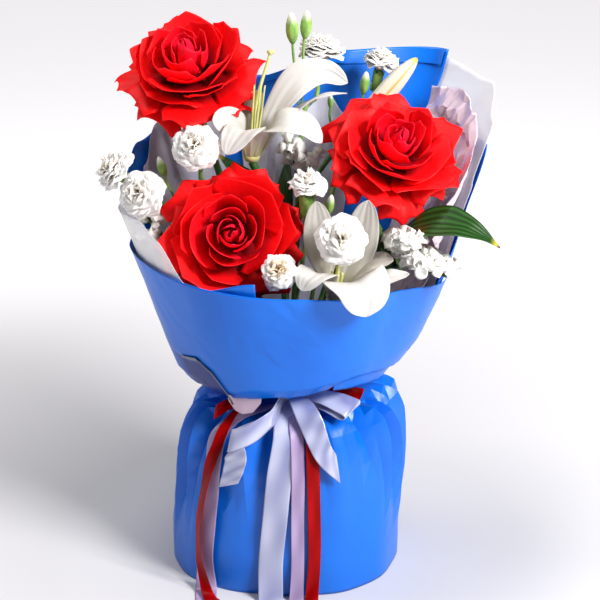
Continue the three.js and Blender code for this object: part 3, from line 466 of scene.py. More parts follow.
looks = {
    "blueFilm": filmMaterial("blueMattFilm", "#0270e0", "#0162ce", 0.34, 0.15, 14, {"Specular IOR Level": 0.42}),
    "whiteFilm": filmMaterial("whiteSheerFilm", "#ffffff", "#eef0f6", 0.3, 0.3, 16, {"Alpha": 0.62}),
    "pearlFilm": filmMaterial(
        "pearlCrinkleFilm", "#f6dfe5", "#e0cbdc", 0.24, 0.8, 7, {"Alpha": 0.8, "Metallic": 0.15, "Coat Weight": 0.4}
    ),
    "silverFilm": filmMaterial("silverFilmBack", "#7f8292", "#6a6e80", 0.24, 0.2, 12, {"Metallic": 0.5}),
    "liningFilm": filmMaterial("pinkLiningFilm", "#e0c4d4", "#c9abc4", 0.34, 0.3, 10),
    "lilacFilm": filmMaterial("lilacSheerFilm", "#e6e6f0", "#c6c8de", 0.32, 0.4, 10, {"Alpha": 0.8}),
    "whiteSatin": satinMaterial("whiteSatin", "#c6c9e0", "#8286b2", {"Specular IOR Level": 1.0}),
    # painted shade and painted reflection: a pinkish lilac copy of the white satin, for the white ribbon's tails that
    # hang in shade and take a reflection of the red ribbon
    "whiteSatinPaintedShadeAndReflection": satinMaterial("whiteSatinPaintedShadeAndReflection", "#b8a3ca", "#8a739f", {"Specular IOR Level": 0.8}),
    "redSatin": satinMaterial("redSatin", "#b40003", "#780001", {"Specular IOR Level": 0.1}),
    # painted shade and painted light: each rose petal darkens to near black towards its root, where shade falls deep in
    # the bloom, and the tone colour #ea1440 is a lighter pinkish crimson painted for light shining through the inner
    # petals
    "rosePetal": petalMaterial(
        "rosePetal",
        [(0.1, "#300003"), (0.42, "#900005"), (0.68, "#ec040a"), (0.92, "#ff0a10")],
        11,
        0.15,
        0.56,
        {"Specular IOR Level": 0.2},
        "#ea1440",
        "MIX",
    ),
    "lilyTepal": petalMaterial(
        "lilyTepal",
        [(0.04, "#94964a"), (0.16, "#bcbc98"), (0.34, "#c5c1b9"), (1, "#cac7c3")],
        4.5,
        0.5,
        0.5,
        {"Subsurface Weight": 0.12, "Subsurface Scale": 1, "Subsurface Radius": (0.004, 0.003, 0.002)},
        "#b8aa98",
    ),
    "carnationPetal": petalMaterial(
        "carnationPetal",
        [(0.05, "#cfcfaa"), (0.35, "#ebe8e1"), (1, "#f6f4f1")],
        4,
        0.25,
        0.6,
        {"Subsurface Weight": 0.35, "Subsurface Scale": 1, "Subsurface Radius": (0.004, 0.004, 0.004)},
        "#f4d9b4",
    ),
    "lilyBud": petalMaterial(
        "lilyBud", [(0.05, "#a9b256"), (0.3, "#dcd7c0"), (0.88, "#e2dccb"), (1, "#c9bf52")], 5, 0.5, shade="#d8bd48"
    ),
    "staticeCup": petalMaterial("staticeCup", [(0.1, "#c2c8a8"), (0.5, "#edebe4"), (1, "#f8f7f4")], 3, 0.4, 0.65),
    "roseGreen": greenMaterial("roseStem", "#4c7d33", "#2f5622"),
    "lilyGreen": greenMaterial("lilyStem", "#3f7a2c", "#245019"),
    "lilyHeart": greenMaterial("lilyFilament", "#d9d791", "#b8bd5e", 4),
    "carnationGreen": greenMaterial("carnationStem", "#98bd58", "#679443", 4),
    "staticeGreen": greenMaterial("staticeStem", "#4d6b2f", "#2f4a1e", 3),
    "twine": greenMaterial("juteTwine", "#cdb68c", "#a48a5e", 2, 0.9),
    "leaf": leafMaterial("lilyLeaf", 5.5),
}
print("materials made")

# The wrap: film sheets that leave the neck, turn up at the pouch and follow one cone

wrap = {
    "heights": [178, 208, 245, 285, 320, 365, 410, 440],
    "radii": {
        -180: [58, 68, 76, 84, 90, 96, 104, 110],
        -135: [76, 88, 100, 112, 122, 134, 142, 146],
        -90: [93, 104, 116, 130, 142, 158, 164, 168],
        -45: [88, 98, 108, 119, 129, 138, 146, 150],
        0: [84, 93, 103, 112, 121, 130, 138, 142],
        45: [86, 99, 111, 121, 130, 139, 148, 152],
        90: [93, 115, 132, 146, 158, 178, 200, 212],
        128: [80, 98, 114, 128, 141, 160, 180, 190],
        155: [66, 78, 90, 98, 105, 111, 119, 126],
    },
    "neckRadius": 29.5,
    "neckStep": 1.4,
    "layerStep": 3.4,
    "neck": (160, 175),
    "neckRise": 0.3,
    "floor": 178,
    "wall": 0.35,
    "pouchInset": 5,
    # shares of a sheet's length: where the neck ends, where the pouch ends, and the bend at the pouch's edge
    "neckShare": 0.08,
    "pouchShare": 0.26,
    "bendShare": 0.06,
    "bendRise": 10,
    "creaseSpan": 200,
    "jitter": (0.35, 0.3),
    # the front sheet's corner, folded in: the angles it lies between, over how many degrees and mm, and how deep
    "tuck": {"span": (-78, -31), "over": 16, "fall": 5, "depth": 3},
}
wrap["radii"][180] = wrap["radii"][-180]


def coneRadius(degrees, height):
    angle = (degrees + 180) % 360 - 180
    heights = wrap["heights"]
    i = max(1, next((k for k, h in enumerate(heights) if height <= h), len(heights) - 1))
    t = (height - heights[i - 1]) / (heights[i] - heights[i - 1])
    stops = [(direction, lerp(row[i - 1], row[i], t)) for direction, row in sorted(wrap["radii"].items())]
    return along(stops, angle)


sheets = {
    "frontFilm": {
        "nodes": ["wrap_front"], "look": "blueFilm", "span": (-112, 86), "layer": 0,
        "top": [(-112, 292), (-90, 290), (-45, 284), (0, 279), (45, 274), (86, 262)],
        "floor": [(-110, -4), (-45, -4), (0, 2), (40, 9), (86, 0)],
        "cells": (44, 16), "creaseSize": 70, "depth": 0.7,
        "tuck": [(-60, 206), (-47, 210), (-39, 202), (-35, 188), (-31, 176)],
    },
    "rightFilm": {
        "nodes": ["wrap_right"], "look": "blueFilm", "span": (79, 128), "layer": 1.15,
        "top": [(79, 262), (88, 300), (100, 367), (128, 372)], "cells": (14, 16), "creaseSize": 40, "depth": 0.9,
    },
    "cornerFilm": {
        "nodes": ["wrap_corner"], "look": "blueFilm", "span": (-38, -12), "layer": 1.1,
        "top": [(-38, 279), (-12, 290)], "cells": (8, 10), "creaseSize": 40, "depth": 0.5,
    },
    "leftWhiteFilm": {
        "nodes": ["film_white_left"], "look": "whiteFilm", "span": (-106, -44), "layer": 1.1,
        "top": [(-106, 314), (-92, 322), (-62, 326), (-54, 314), (-44, 282)],
        "cells": (16, 16), "creaseSize": 40, "depth": 0.9,
    },
    "backWhiteFilm": {
        "nodes": ["film_white_back"], "look": "whiteFilm", "span": (88, 134), "layer": 2.3,
        "top": [(88, 282), (95, 336), (101, 388), (108, 414), (126, 424), (142, 428)],
        "cells": (14, 18), "creaseSize": 40, "depth": 1.0,
    },
    "backFilm": {
        "nodes": ["wrap_back"], "look": "blueFilm", "span": (126, 262), "layer": 3.6,
        "top": [(123, 432), (156, 432), (192, 411), (225, 384), (250, 364), (262, 346)],
        "cells": (34, 18), "creaseSize": 50, "depth": 1.1, "ripple": 1, "waves": 9,
    },
    "pearlFilm": {
        "nodes": ["film_pearl_right"], "look": "pearlFilm", "span": (80, 124), "layer": 4.4,
        "top": [(82, 322), (92, 366), (103, 392), (112, 406), (124, 404)],
        "cells": (32, 36), "creaseSize": 11, "depth": 3.3, "ripple": 1.2, "waves": 22, "lean": 8,
        "soft": 0, "sharp": 26,
    },
    "leftLilacFilm": {
        "nodes": ["film_lilac_left"], "look": "lilacFilm", "span": (-148, -97), "layer": 5.2,
        "top": [(-148, 376), (-138, 390), (-129, 370), (-119, 378), (-107, 346), (-97, 318)],
        "cells": (18, 20), "creaseSize": 24, "depth": 2.0, "ripple": 2, "waves": 14,
    },
    "backLilacFilm": {
        "nodes": ["film_lilac_back"], "look": "lilacFilm", "span": (146, 204), "layer": 5.2,
        "top": [(146, 372), (158, 396), (172, 380), (186, 392), (204, 368)],
        "cells": (20, 20), "creaseSize": 24, "depth": 2.0, "ripple": 2, "waves": 12,
    },
}


def filmSpot(sheet, u, v):
    angle = lerp(*sheet["span"], u)
    inset = sheet["layer"] * wrap["layerStep"]
    bottom = wrap["floor"] + inset + along(sheet.get("floor", [(0, 0)]), angle)
    neck = wrap["neckRadius"] - sheet["layer"] * wrap["neckStep"]
    low, high = wrap["neck"]
    high += inset * wrap["neckRise"]
    pouch = coneRadius(angle, wrap["heights"][0]) - wrap["pouchInset"] - inset
    neckEnd, pouchEnd, bend, rise = (wrap[key] for key in ("neckShare", "pouchShare", "bendShare", "bendRise"))
    if v < neckEnd:
        return around(angle, neck, lerp(low, high, v / neckEnd))
    if v < pouchEnd:
        t = (v - neckEnd) / (pouchEnd - neckEnd)
        return around(angle, lerp(neck, pouch, t), lerp(high, bottom, t))
    t = (v - pouchEnd) / (1 - pouchEnd)
    if t > bend:
        height = lerp(bottom + rise, along(sheet["top"], angle), max(0, t * (1 + bend) - bend))
    else:
        height = lerp(bottom, bottom + rise, t / bend)
    wave = sheet.get("ripple", 0) * t * math.sin(math.radians(sheet.get("waves", 0) * angle + 40 * sheet["layer"]))
    radius = coneRadius(angle, height) - inset - sheet.get("lean", 0) * t + wave
    return around(angle, radius if t > bend else lerp(pouch, radius, t / bend), height)


def makeSheet(name, sheet, seed):
    bm = newShape()
    columns, rows = sheet["cells"]
    draw = random.Random(seed)
    lift, slide = wrap["jitter"]

    def warp(u, v):
        angle, height = lerp(*sheet["span"], u), wrap["floor"] + wrap["creaseSpan"] * v
        rise = min(1, max(0, (v - 0.3) / 0.25))  # the neck and the pouch stay smooth
        push = ripple(angle, height, sheet["creaseSize"], seed * 7) * 2 + draw.uniform(-lift, lift)
        inside = 0 < u < 1 and 0.3 < v < 1
        shift = (draw.uniform(-slide, slide) / columns, draw.uniform(-slide, slide) / rows) if inside else (0, 0)
        return Vector((u + shift[0], v + shift[1], push * rise * sheet["depth"]))

    def under(u, v):  # 1 well inside the corner that is folded in
        spot = filmSpot(sheet, u, v)
        angle = math.degrees(math.atan2(spot.x, -spot.y))
        tuck = wrap["tuck"]
        first, last = tuck["span"]
        if "tuck" not in sheet or not first < angle < last or v < 0.2:
            return 0
        depth = min(1, max(0, (along(sheet["tuck"], angle) - spot.z) / tuck["fall"]))
        return depth * min(1, (angle - first) / tuck["over"])

    def place(u, v, push):
        spot = filmSpot(sheet, u, v)
        out = Vector((spot.x, spot.y, 0)).normalized()
        return spot + out * (push - wrap["tuck"]["depth"] * under(u, v))

    # the tone that under gives paints shade on the folded-in corner, which place also pushes in
    addCreased(bm, columns, rows, warp, place, sheet.get("soft", 1), toneAt=under)
    finishPiece(name, bm, sheet["look"], sheet["nodes"], wrap["wall"], sharp=sheet.get("sharp", 0))


for seed, (name, sheet) in enumerate(sheets.items()):
    makeSheet(name, sheet, seed + 11)


def makeStrip(name, strip):
    bm = newShape()

    def edge(stops, t):
        places = [(i / (len(stops) - 1), stop) for i, stop in enumerate(stops)]
        angle, height, lift = (along([(a, stop[k]) for a, stop in places], t) for k in range(3))
        return around(angle, coneRadius(angle, max(height, wrap["floor"])) + lift, height)

    columns, rows = strip.get("grid", (60, 8))
    addGrid(bm, columns, rows, lambda u, v: edge(strip["lower"], u).lerp(edge(strip["upper"], u), v))
    finishPiece(name, bm, strip["look"], strip["nodes"], wrap["wall"], 1)


strips = {  # the upper edge, then the lower, as (angle, height, lift)
    "tuckedEdge": {
        "look": "silverFilm", "nodes": ["wrap_front"],
        "upper": [(-61, 206, 1), (-47, 211.5, 1.8), (-38.5, 203, 2), (-33.5, 189, 2), (-28.5, 174, 1.6)],
        "lower": [(-60, 204, 0), (-48, 206.5, -1), (-41.5, 198, -2.2), (-37, 186, -2.2), (-31, 172, -1.5)],
    },
    "liningFilm": {
        "look": "liningFilm", "nodes": ["film_white_left"], "grid": (24, 12),
        "upper": [(-37, 182, -8), (-31, 182, -8), (-26, 182, -8), (-20, 182, -8), (-14, 182, -8)],
        "lower": [(-36, 172, -7), (-31, 165, -6), (-26, 163, -5), (-20, 165, -6), (-15, 174, -7)],
    },
    "secondFilm": {
        "look": "blueFilm", "nodes": ["wrap_front"],
        "upper": [(28, 214, -2.6), (46, 214, -2.6), (64, 214, -2.6), (82, 214, -2.6)],
        "lower": [(28, 185, -5), (46, 181.5, -4.5), (64, 177.5, -4.5), (82, 177, -5)],
    },
    "backCuff": {
        "look": "blueFilm", "nodes": ["wrap_back"],
        "upper": [
            (127, 431.5, -12.8), (142, 431.5, -12.8), (156, 431, -12.8),
            (174, 421, -12.8), (192, 410, -12.8), (206, 400, -12.8),
        ],
        "lower": [
            (127, 418, -13.4), (142, 419, -13.4), (156, 421, -13.4),
            (174, 414, -13.4), (192, 405, -13.2), (206, 397, -13),
        ],
    },
}
for name, strip in strips.items():
    makeStrip(name, strip)
print("film sheets made")

# The gathered skirt

skirt = {
    "right": [(32, 172), (32, 160), (40, 157), (78, 157), (95, 147), (102, 118), (105, 76), (104, 34), (104, 0)],
    "left": [(32, 172), (32, 160), (40, 156), (60, 151), (79, 137), (91, 108), (99, 72), (104, 34), (104, 0)],
    "depth": 0.9,
    "pleats": 14,
    "gather": [(0, 0), (2, 0.6), (4, 3.2), (6, 2), (7, 0.9), (8, 0.9)],
    "cells": (60, 16),
    "fullness": (32, 40),  # the radius where the cloth starts to spread, and over how much
    "squareness": (0.03, 38),  # how far its four corners stand out, and their angle
    # no creases above this height; they grow over the next two, down from it and up from the hem
    "flat": (158.5, 5, 30),
    "creaseSize": 24,
    "seed": 3,
    "bend": 0.35,
    "ground": 0.3,
    "sharp": 14,
    "crumpleFade": (0.15, 150, 1.5),  # the share left at the hem, the height of full strength, and the power between
    "ridgeEnds": (0.8, 0.07),  # the shares of its length over which a ridge fades at its foot and at its top
    "crumple": [(-120, 1.6), (-64, 4.2), (-40, 3.2), (-12, 1.4), (45, 1.4), (72, 3), (110, 1.6)],  # by angle
    # ridges (or grooves) that fan down from the tie: angle and height of both ends, and how far they stand out;
    # the upper angles fall on the columns of the cells
    "gathers": [
        (-90, 150, -100, 20, 9), (-84, 153, -87, 46, -7), (-72, 154, -70, 40, 10), (-66, 153, -68, 26, -8),
        (-60, 153, -57, 64, 9), (-54, 152, -52, 40, -7), (-42, 151, -46, 96, 3), (-36, 151, -31, 70, -6),
        (-24, 150, -18, 60, 5), (-12, 150, -9, 84, -6), (6, 152, 8, 50, -3), (18, 153, 21, 60, -3),
        (36, 154, 40, 70, 4), (42, 156, 48, 96, -5), (54, 157, 58, 50, 9), (60, 157, 66, 76, -9),
        (66, 157, 75, 34, 10), (78, 156, 84, 84, -8), (90, 157, 96, 24, 9), (96, 156, 102, 70, -7),
        (108, 156, 114, 50, 8), (120, 156, 123, 84, -6), (132, 156, 136, 46, 8), (144, 156, 147, 84, -6),
        (156, 156, 158, 56, 8), (168, 156, 170, 90, -6), (180, 156, 183, 50, 8), (192, 156, 193, 84, -6),
        (204, 156, 202, 54, 8), (216, 156, 218, 88, -6), (228, 156, 231, 46, 8), (240, 155, 239, 84, -6),
        (252, 154, 250, 56, 8),
    ],
}


def onSkirt(degrees, row, lift=0, smooth=False):
    rows = len(skirt["right"]) - 1
    i = min(int(row), rows - 1)
    t = row - i
    share = (1 + math.sin(math.radians(degrees))) / 2

    def mix(k, j):
        return lerp(skirt["left"][j][k], skirt["right"][j][k], share)

    radius = lerp(mix(0, i), mix(0, i + 1), t)
    height = lerp(mix(1, i), mix(1, i + 1), t)
    start, over = skirt["fullness"]
    fullness = max(0, min(1, (radius - start) / over))
    pleat = along(skirt["gather"], row)  # what lies on the skirt lies on the pleats' tops
    if not lift:
        pleat *= 0 if smooth else math.cos(math.radians(skirt["pleats"] * degrees))
    stand, turned = skirt["squareness"]
    corner = 1 + stand * fullness * math.cos(math.radians(4 * (degrees - turned)))
    slope = Vector((mix(1, i) - mix(1, i + 1), mix(0, i + 1) - mix(0, i))).normalized()
    r = radius * corner + pleat + lift * slope.x
    turn = math.radians(degrees)
    squash = lerp(1, skirt["depth"], fullness)
    return Vector((r * math.sin(turn), -r * math.cos(turn) * squash, height + lift * slope.y))


def makeSkirt():
    bm = newShape()
    columns, rows = skirt["cells"]
    last = len(skirt["right"]) - 1
    still, fade, hem = skirt["flat"]
    least, full, power = skirt["crumpleFade"]
    foot, head = skirt["ridgeEnds"]

    def warp(u, v):
        angle, row = u * 360, v * last
        height = onSkirt(angle, row, 0, True).z
        share = min(1, max(0, (still - height) / fade)) * min(1, height / hem)
        crumple = along(skirt["crumple"], (angle + 180) % 360 - 180)
        push = ripple(angle, height, skirt["creaseSize"], skirt["seed"]) * crumple
        push *= lerp(least, 1, (height / full) ** power)  # most of it is near the tie
        knots = []  # the columns fan out with the folds that they carry
        for topAngle, top, lowAngle, low, depth in skirt["gathers"]:
            t = (top - height) / (top - low)
            knots.append((topAngle, lerp(topAngle, lowAngle, min(1, max(0, t)))))
            if 0 < t < 1 and abs((topAngle - angle + 180) % 360 - 180) < 1:
                push += depth * min(1, (1 - t) / foot) * min(1, t / head)
        knots = knots[-1:] + knots + knots[:2]
        knots = [(knots[0][0] - 360, knots[0][1] - 360), *knots[1:-2], *((a + 360, b + 360) for a, b in knots[-2:])]
        turn = (angle - knots[1][0]) % 360 + knots[1][0]
        for (a, low), (b, high) in zip(knots, knots[1:]):
            if a <= turn <= b:
                angle += lerp(low, high, (turn - a) / (b - a)) - turn
                break
        return Vector((angle / 360, v, push * share))

    def place(u, v, push):
        degrees, row = u * 360, v * last
        near = min(skirt["bend"], row, last - row)  # rounds the bends of the profile
        before, after = onSkirt(degrees, row - near, 0, True), onSkirt(degrees, row + near, 0, True)
        spot = onSkirt(degrees, row) * 0.5 + (before + after) * 0.25
        if near < 0.05:
            return Vector((spot.x, spot.y, max(spot.z, skirt["ground"])))
        out = around(degrees + 90, 1, 0).cross(after - before).normalized()
        spot += out * push * (1 if out.dot(Vector((spot.x, spot.y, 60))) > 0 else -1)
        return Vector((spot.x, spot.y, max(spot.z, skirt["ground"])))

    addCreased(bm, columns, rows, warp, place, 0, cuts=4, closed=True)
    finishPiece("skirtFilm", bm, "blueFilm", ["wrap_skirt"], wrap["wall"], sharp=skirt["sharp"])


makeSkirt()
print("skirt made")

# Satin ribbons. Each length is its own piece of cloth.

ribbon = {"wide": 10.5, "narrow": 5.5, "wall": 0.3, "lying": 0.5, "columns": 8, "waver": 0.35, "least": 10.5}
ribbonNodes = {"whiteSatin": ["ribbon_white"], "whiteSatinPaintedShadeAndReflection": ["ribbon_white"], "redSatin": ["ribbon_red"]}
# each ribbon is a row of stations, from its knot: the middle of the ribbon, and the way to its edge


def lying(points, half):  # stations of a tail's end, laid out on the ground in front of the skirt
    return [(p, (half, 0, 0)) for p in points]


def hanging(route, half):  # stations of a tail over the skirt, from (angle, row, lift)
    stations = []
    for angle, row, lift in route:
        stations.append((onSkirt(angle, row, lift), around(angle + 90, 1, 0) * half * (0.55 if row < 1 else 1)))
    return stations


def makeRibbon(name, spec):
    look, stations = spec["look"], spec["stations"]
    if spec.get("closed"):
        stations = stations + stations[:1]
    middle = [Vector(p) for p, _ in stations]
    centre = curveThrough(middle)
    side = curveThrough([w for _, w in stations])
    bm = newShape()

    def spot(u, v):
        s = u * 2 - 1
        half = side(v)
        ahead = (centre(min(v + 0.01, 1)) - centre(max(v - 0.01, 0))).normalized()
        rise = half.cross(ahead).normalized()
        point = centre(v) + half * s + rise * (ribbon["waver"] * math.sin(v * 37 + s * 2))
        point.z = max(point.z, ribbon["lying"])
        return point

    addGrid(bm, ribbon["columns"], spec["steps"], spot)
    piece = finishPiece(name, bm, look, ribbonNodes[look], ribbon["wall"], 1)
    length = curveLength(middle) * mm
    width = max(ribbon["least"], 2 * sum(Vector(w).length for _, w in stations) / len(stations)) * mm
    print(f"  {name}: {width / mm:.0f} x {length / mm:.0f} mm")


ribbons = {
    "middleTail": {
        "look": "whiteSatin", "steps": 56,
        "stations": [
            ((2, -40, 165), (6, 0, 1)),
            *hanging([(1, 3, 2.5), (0, 4, 2.5), (-3, 5, 2.5), (-5, 6, 2.5), (-7, 7, 3)], ribbon["wide"]),
            *lying([(-13, -100, 3), (-15, -114, 0.5), (-19, -138, 0.5)], ribbon["wide"]),
        ],
    },
    # white satin, painted with shade and the red ribbon's reflection
    "narrowTail": {
        "look": "whiteSatinPaintedShadeAndReflection", "steps": 56,
        "stations": [
            ((5, -41, 164), (4, 0, 1)),
            *hanging([(6, 3, 2.2), (6, 4, 2.2), (6, 5, 2.2), (5.5, 6, 2.2), (5.5, 7, 2.4)], 5.5),
            *lying([(9, -100, 3), (8, -114, 0.5), (5, -136, 0.5)], 6),
        ],
    },
    # white satin, painted with shade and the red ribbon's reflection
    "leftTail": {
        "look": "whiteSatinPaintedShadeAndReflection", "steps": 56,
        "stations": [
            ((-2, -41, 161), (3, 0, 3)),
            *hanging([(-20, 2.6, 3.4), (-33, 3.2, 3.4)], 6),
            *hanging([(-39, 4, 2.5), (-38.5, 4.8, 2.6), (-38, 5.5, 2.6), (-38, 6.2, 2.6), (-39, 7, 3)], 8.5),
            *lying([(-69, -80, 4), (-68.5, -92, 0.5), (-67, -111, 0.5)], 9),
        ],
    },
    "shortTail": {
        "look": "whiteSatin", "steps": 56,
        "stations": [
            ((6, -43, 170), (4, 0, 1)),
            ((13.5, -67, 169.5), (9.3, -1, 1)),
            ((23, -83, 155), (7.7, 1.8, 6.9)),
            ((32, -90, 135), (5, 1.8, 8)),
            ((43.8, -88, 119.6), (-1.8, 0.8, 13)),
        ],
    },
    "leftEnd": {
        "look": "whiteSatin", "steps": 56,
        "stations": [
            ((-22, -82, 152), (0.5, -2, 9)),
            ((-37, -81.5, 144), (3, -2, 9.5)),
            ((-42, -83.5, 136), (7.5, -3, 7)),
            ((-41.5, -83, 126), (9.3, -3, 3.5)),
            ((-44, -83.5, 114), (9.3, -3.5, 3.5)),
            ((-48, -83, 102), (8.5, -3.5, 3.5)),
        ],
    },
    "rightLoop": {
        "look": "whiteSatin", "steps": 56, "closed": True,
        "stations": [
            ((4, -41, 165), (0, -1, 4)),
            ((31, -57, 171.5), (5, 3.5, 4)),
            ((52, -67, 167.5), (6.7, 5, 4.9)),
            ((55.5, -69.5, 164.5), (6.7, 5, 4.9)),
            ((51, -67, 162.5), (6.7, 5, 4.9)),
            ((32, -57, 166.3), (5, 3.5, 4)),
        ],
    },
    "leftLoop": {
        "look": "whiteSatin", "steps": 72, "closed": True,
        "stations": [
            ((0, -44, 165), (0, -1, 5)),
            ((-5, -63, 168), (0, -2, 7)),
            ((-13, -82, 161.5), (0, -2.5, 9)),
            ((-28, -91, 154), (0.5, -2, 10.8)),
            ((-41, -91, 148), (2, -2, 11.2)),
            ((-46, -88, 146), (2.5, -2, 11)),
            ((-41, -85.5, 147), (2, -2, 10.8)),
            ((-26, -86, 153.5), (0.5, -2, 10.2)),
            ((-11, -78, 160), (0, -2.5, 8)),
            ((-4, -59, 165), (0, -2, 6)),
        ],
    },
    "leftRedTail": {
        "look": "redSatin", "steps": 48,
        "stations": [
            ((-25, -31, 164), (2, -3, 2)),
            ((-36, -48, 163), (3, -3, 2.5)),
            (onSkirt(-36, 3.7, 7), (5, -1.5, 2)),
            (onSkirt(-36.5, 4.3, 7), (5, -2, 1)),
            (onSkirt(-38.5, 4.9, 7), (4.2, -3.5, 0)),
            (onSkirt(-40.5, 5.6, 7), (2.5, -4.9, 0)),
            (onSkirt(-41.5, 6.3, 7), (2.3, -5, 0)),
            (onSkirt(-41, 7, 7.5), (2.6, -4.8, 0)),
            ((-70, -86, 12), (4.6, -3, 0)),
            ((-66, -95, 2.8), (5.3, 0.5, 0)),
            ((-60, -106, 3), (4.9, 2.4, 0)),
            ((-46, -125, 0.5), (4.7, 2.8, 0)),
        ],
    },
    "rightRedTail": {
        "look": "redSatin", "steps": 48,
        "stations": [
            (around(38, 35.6, 163.4), (2.5, 1.9, 0)),
            (onSkirt(22, 2.7, 2.9), (4, 0, 1)),
            *hanging([(15, 3.4, 2.6), (13.5, 4, 2.5), (13, 5, 2.6), (13, 6, 2.6), (13, 7, 3)], ribbon["narrow"]),
            *lying([(22, -102, 4), (23, -114, 0.5), (25, -136, 0.5)], ribbon["narrow"]),
        ],
    },
    "redLoop": {
        "look": "redSatin", "steps": 48, "closed": True,
        "stations": [
            ((-27, -30, 164), (0, -1, 3.5)),
            ((-40, -50, 166), (0, -2, 6)),
            ((-55, -64, 163.5), (2, -1, 7)),
            ((-58, -62, 160), (1, 0, 6.5)),
            ((-42, -44, 160.8), (0, -1, 3)),
        ],
    },
    "redBackLoop": {
        "look": "redSatin", "steps": 48, "closed": True,
        "stations": [
            (around(38, 36, 164.5), (0, -0.4, 2)),
            ((44, -47, 173), (0.6, -0.6, 4)),
            ((62.5, -57, 173.5), (1.8, -0.4, 5.4)),
            ((60, -53, 172.5), (1.8, -0.4, 5.4)),
            ((43, -42, 171.5), (0.6, -0.6, 4)),
        ],
    },
}
for name, spec in ribbons.items():
    makeRibbon(name, spec)

bands = {  # the rings round the neck; the red one is open at the front, by this many degrees each way
    "whiteBand": {"look": "whiteSatin", "radius": 33.8, "low": 160.6, "high": 170.6, "opening": 0},
    "redBand": {"look": "redSatin", "radius": 35.2, "low": 162.6, "high": 168.6, "opening": 20},
}
knots = {
    "whiteKnot": {"look": "whiteSatin", "centre": (3, -39.4, 165), "size": 8, "seed": 1},
    "redKnot": {"look": "redSatin", "centre": (-26.1, -29.7, 164.5), "size": 5.5, "seed": 2},
}


def makeBand(name, band):
    bm = newShape()

    def spot(u, v):
        angle = lerp(band["opening"], 360 - band["opening"], u)
        radius = band["radius"] + 0.5 * math.sin(math.radians(angle * 9))  # it waves a little over the gathers
        return around(angle, radius, lerp(band["low"], band["high"], v))

    addGrid(bm, 80, 6, spot, closed=not band["opening"])
    finishPiece(name, bm, band["look"], ribbonNodes[band["look"]], ribbon["wall"])


def makeKnot(name, knot):
    bm = newShape()
    size = knot["size"]
    profile = [(size * math.sin(math.pi * i / 16), -size * math.cos(math.pi * i / 16)) for i in range(17)]
    phase = random.Random(knot["seed"]).uniform(0, 6)

    def shape(point, u, v):  # wrinkles run round the knot from side to side
        fold = 1 + 0.09 * math.sin(point.z * 1.7 + math.sin(2 * math.pi * u + phase) * 1.5)
        return Vector((point.x * 1.02 * fold, point.y * 0.75 * fold, point.z * 1.05))

    addTurned(bm, profile, Matrix.Translation(knot["centre"]), 28, shape)
    finishPiece(name, bm, knot["look"], ribbonNodes[knot["look"]])


for name, band in bands.items():
    makeBand(name, band)
for name, knot in knots.items():
    makeKnot(name, knot)
print("ribbons made")

# Stems

stems = {
    "rings": [(0, 1), (8.2, 6), (15.2, 9)],  # the radius of each ring at the waist, and how many stems it holds
    "waist": 166,
    "spread": 2.5,  # how many times as wide the bundle is at its foot
    "twist": 60,
    "heights": (0.2, 80, 150, 182),  # that each stem is led through, from its cut end to just over the neck
}


def slotAt(slot, height):  # where a stem passes at a height; its slot is (ring, place in the ring)
    ring, place = slot
    radius, count = stems["rings"][ring]
    t = max(0, (stems["waist"] - height) / stems["waist"])
    angle = place * 360 / count + 20 * ring
    spot = around(angle, radius, 0).lerp(around(angle + stems["twist"], radius * stems["spread"], 0), t)
    return Vector((spot.x, spot.y, height))


def stemPath(slot, place, bend, reach, via=()):
    neck = place @ Vector((0, 0, -reach - bend))
    head = place @ Vector((0, 0, -reach))
    return [*(slotAt(slot, height) for height in stems["heights"]), *map(Vector, via), neck, head]


leaf = {"wall": 0.6, "crimp": 0.4}


def leafSpot(foot, tip, width, sag, upward, fold=0):
    foot, tip = Vector(foot), Vector(tip)
    run = tip - foot
    side = run.cross(Vector(upward)).normalized()
    rise = side.cross(run).normalized()

    def spot(s, v, lift=0):
        half = width / 2 * max(0.02, math.sin(math.pi * (0.06 + 0.935 * v) ** 0.8))
        lift += sag * 4 * v * (1 - v) + abs(s) * half * fold + leaf["crimp"] * math.sin(v * 21 + s * 3)
        return foot + run * v + rise * lift + side * (s * half)

    return spot


def addLeaf(bm, foot, tip, width, sag, upward=(0, 0, 1), fold=0, columns=10, rows=24):
    laid = leafSpot(foot, tip, width, sag, upward, fold)
    addGrid(bm, columns, rows, lambda u, v: laid(u * 2 - 1, v))


def addBlade(bm, across, rows, spot):  # a thin closed blade laid on spot(s, v, lift), s from -1 to 1
    def both(u, v):
        s = 4 * abs(u - 0.5) - 1
        return spot(s, v, shaping["blade"] * (1 - abs(s)) * (1 if u < 0.5 else -1))

    made = addGrid(bm, across * 2, rows, both, closed=True)
    edges = {edge for vert in made for edge in vert.link_edges if edge.is_boundary}
    bmesh.ops.holes_fill(bm, edges=list(edges), sides=across * 2)


# Roses: the heart is a spiral of upright petals; each later whorl opens further and rolls its rim back

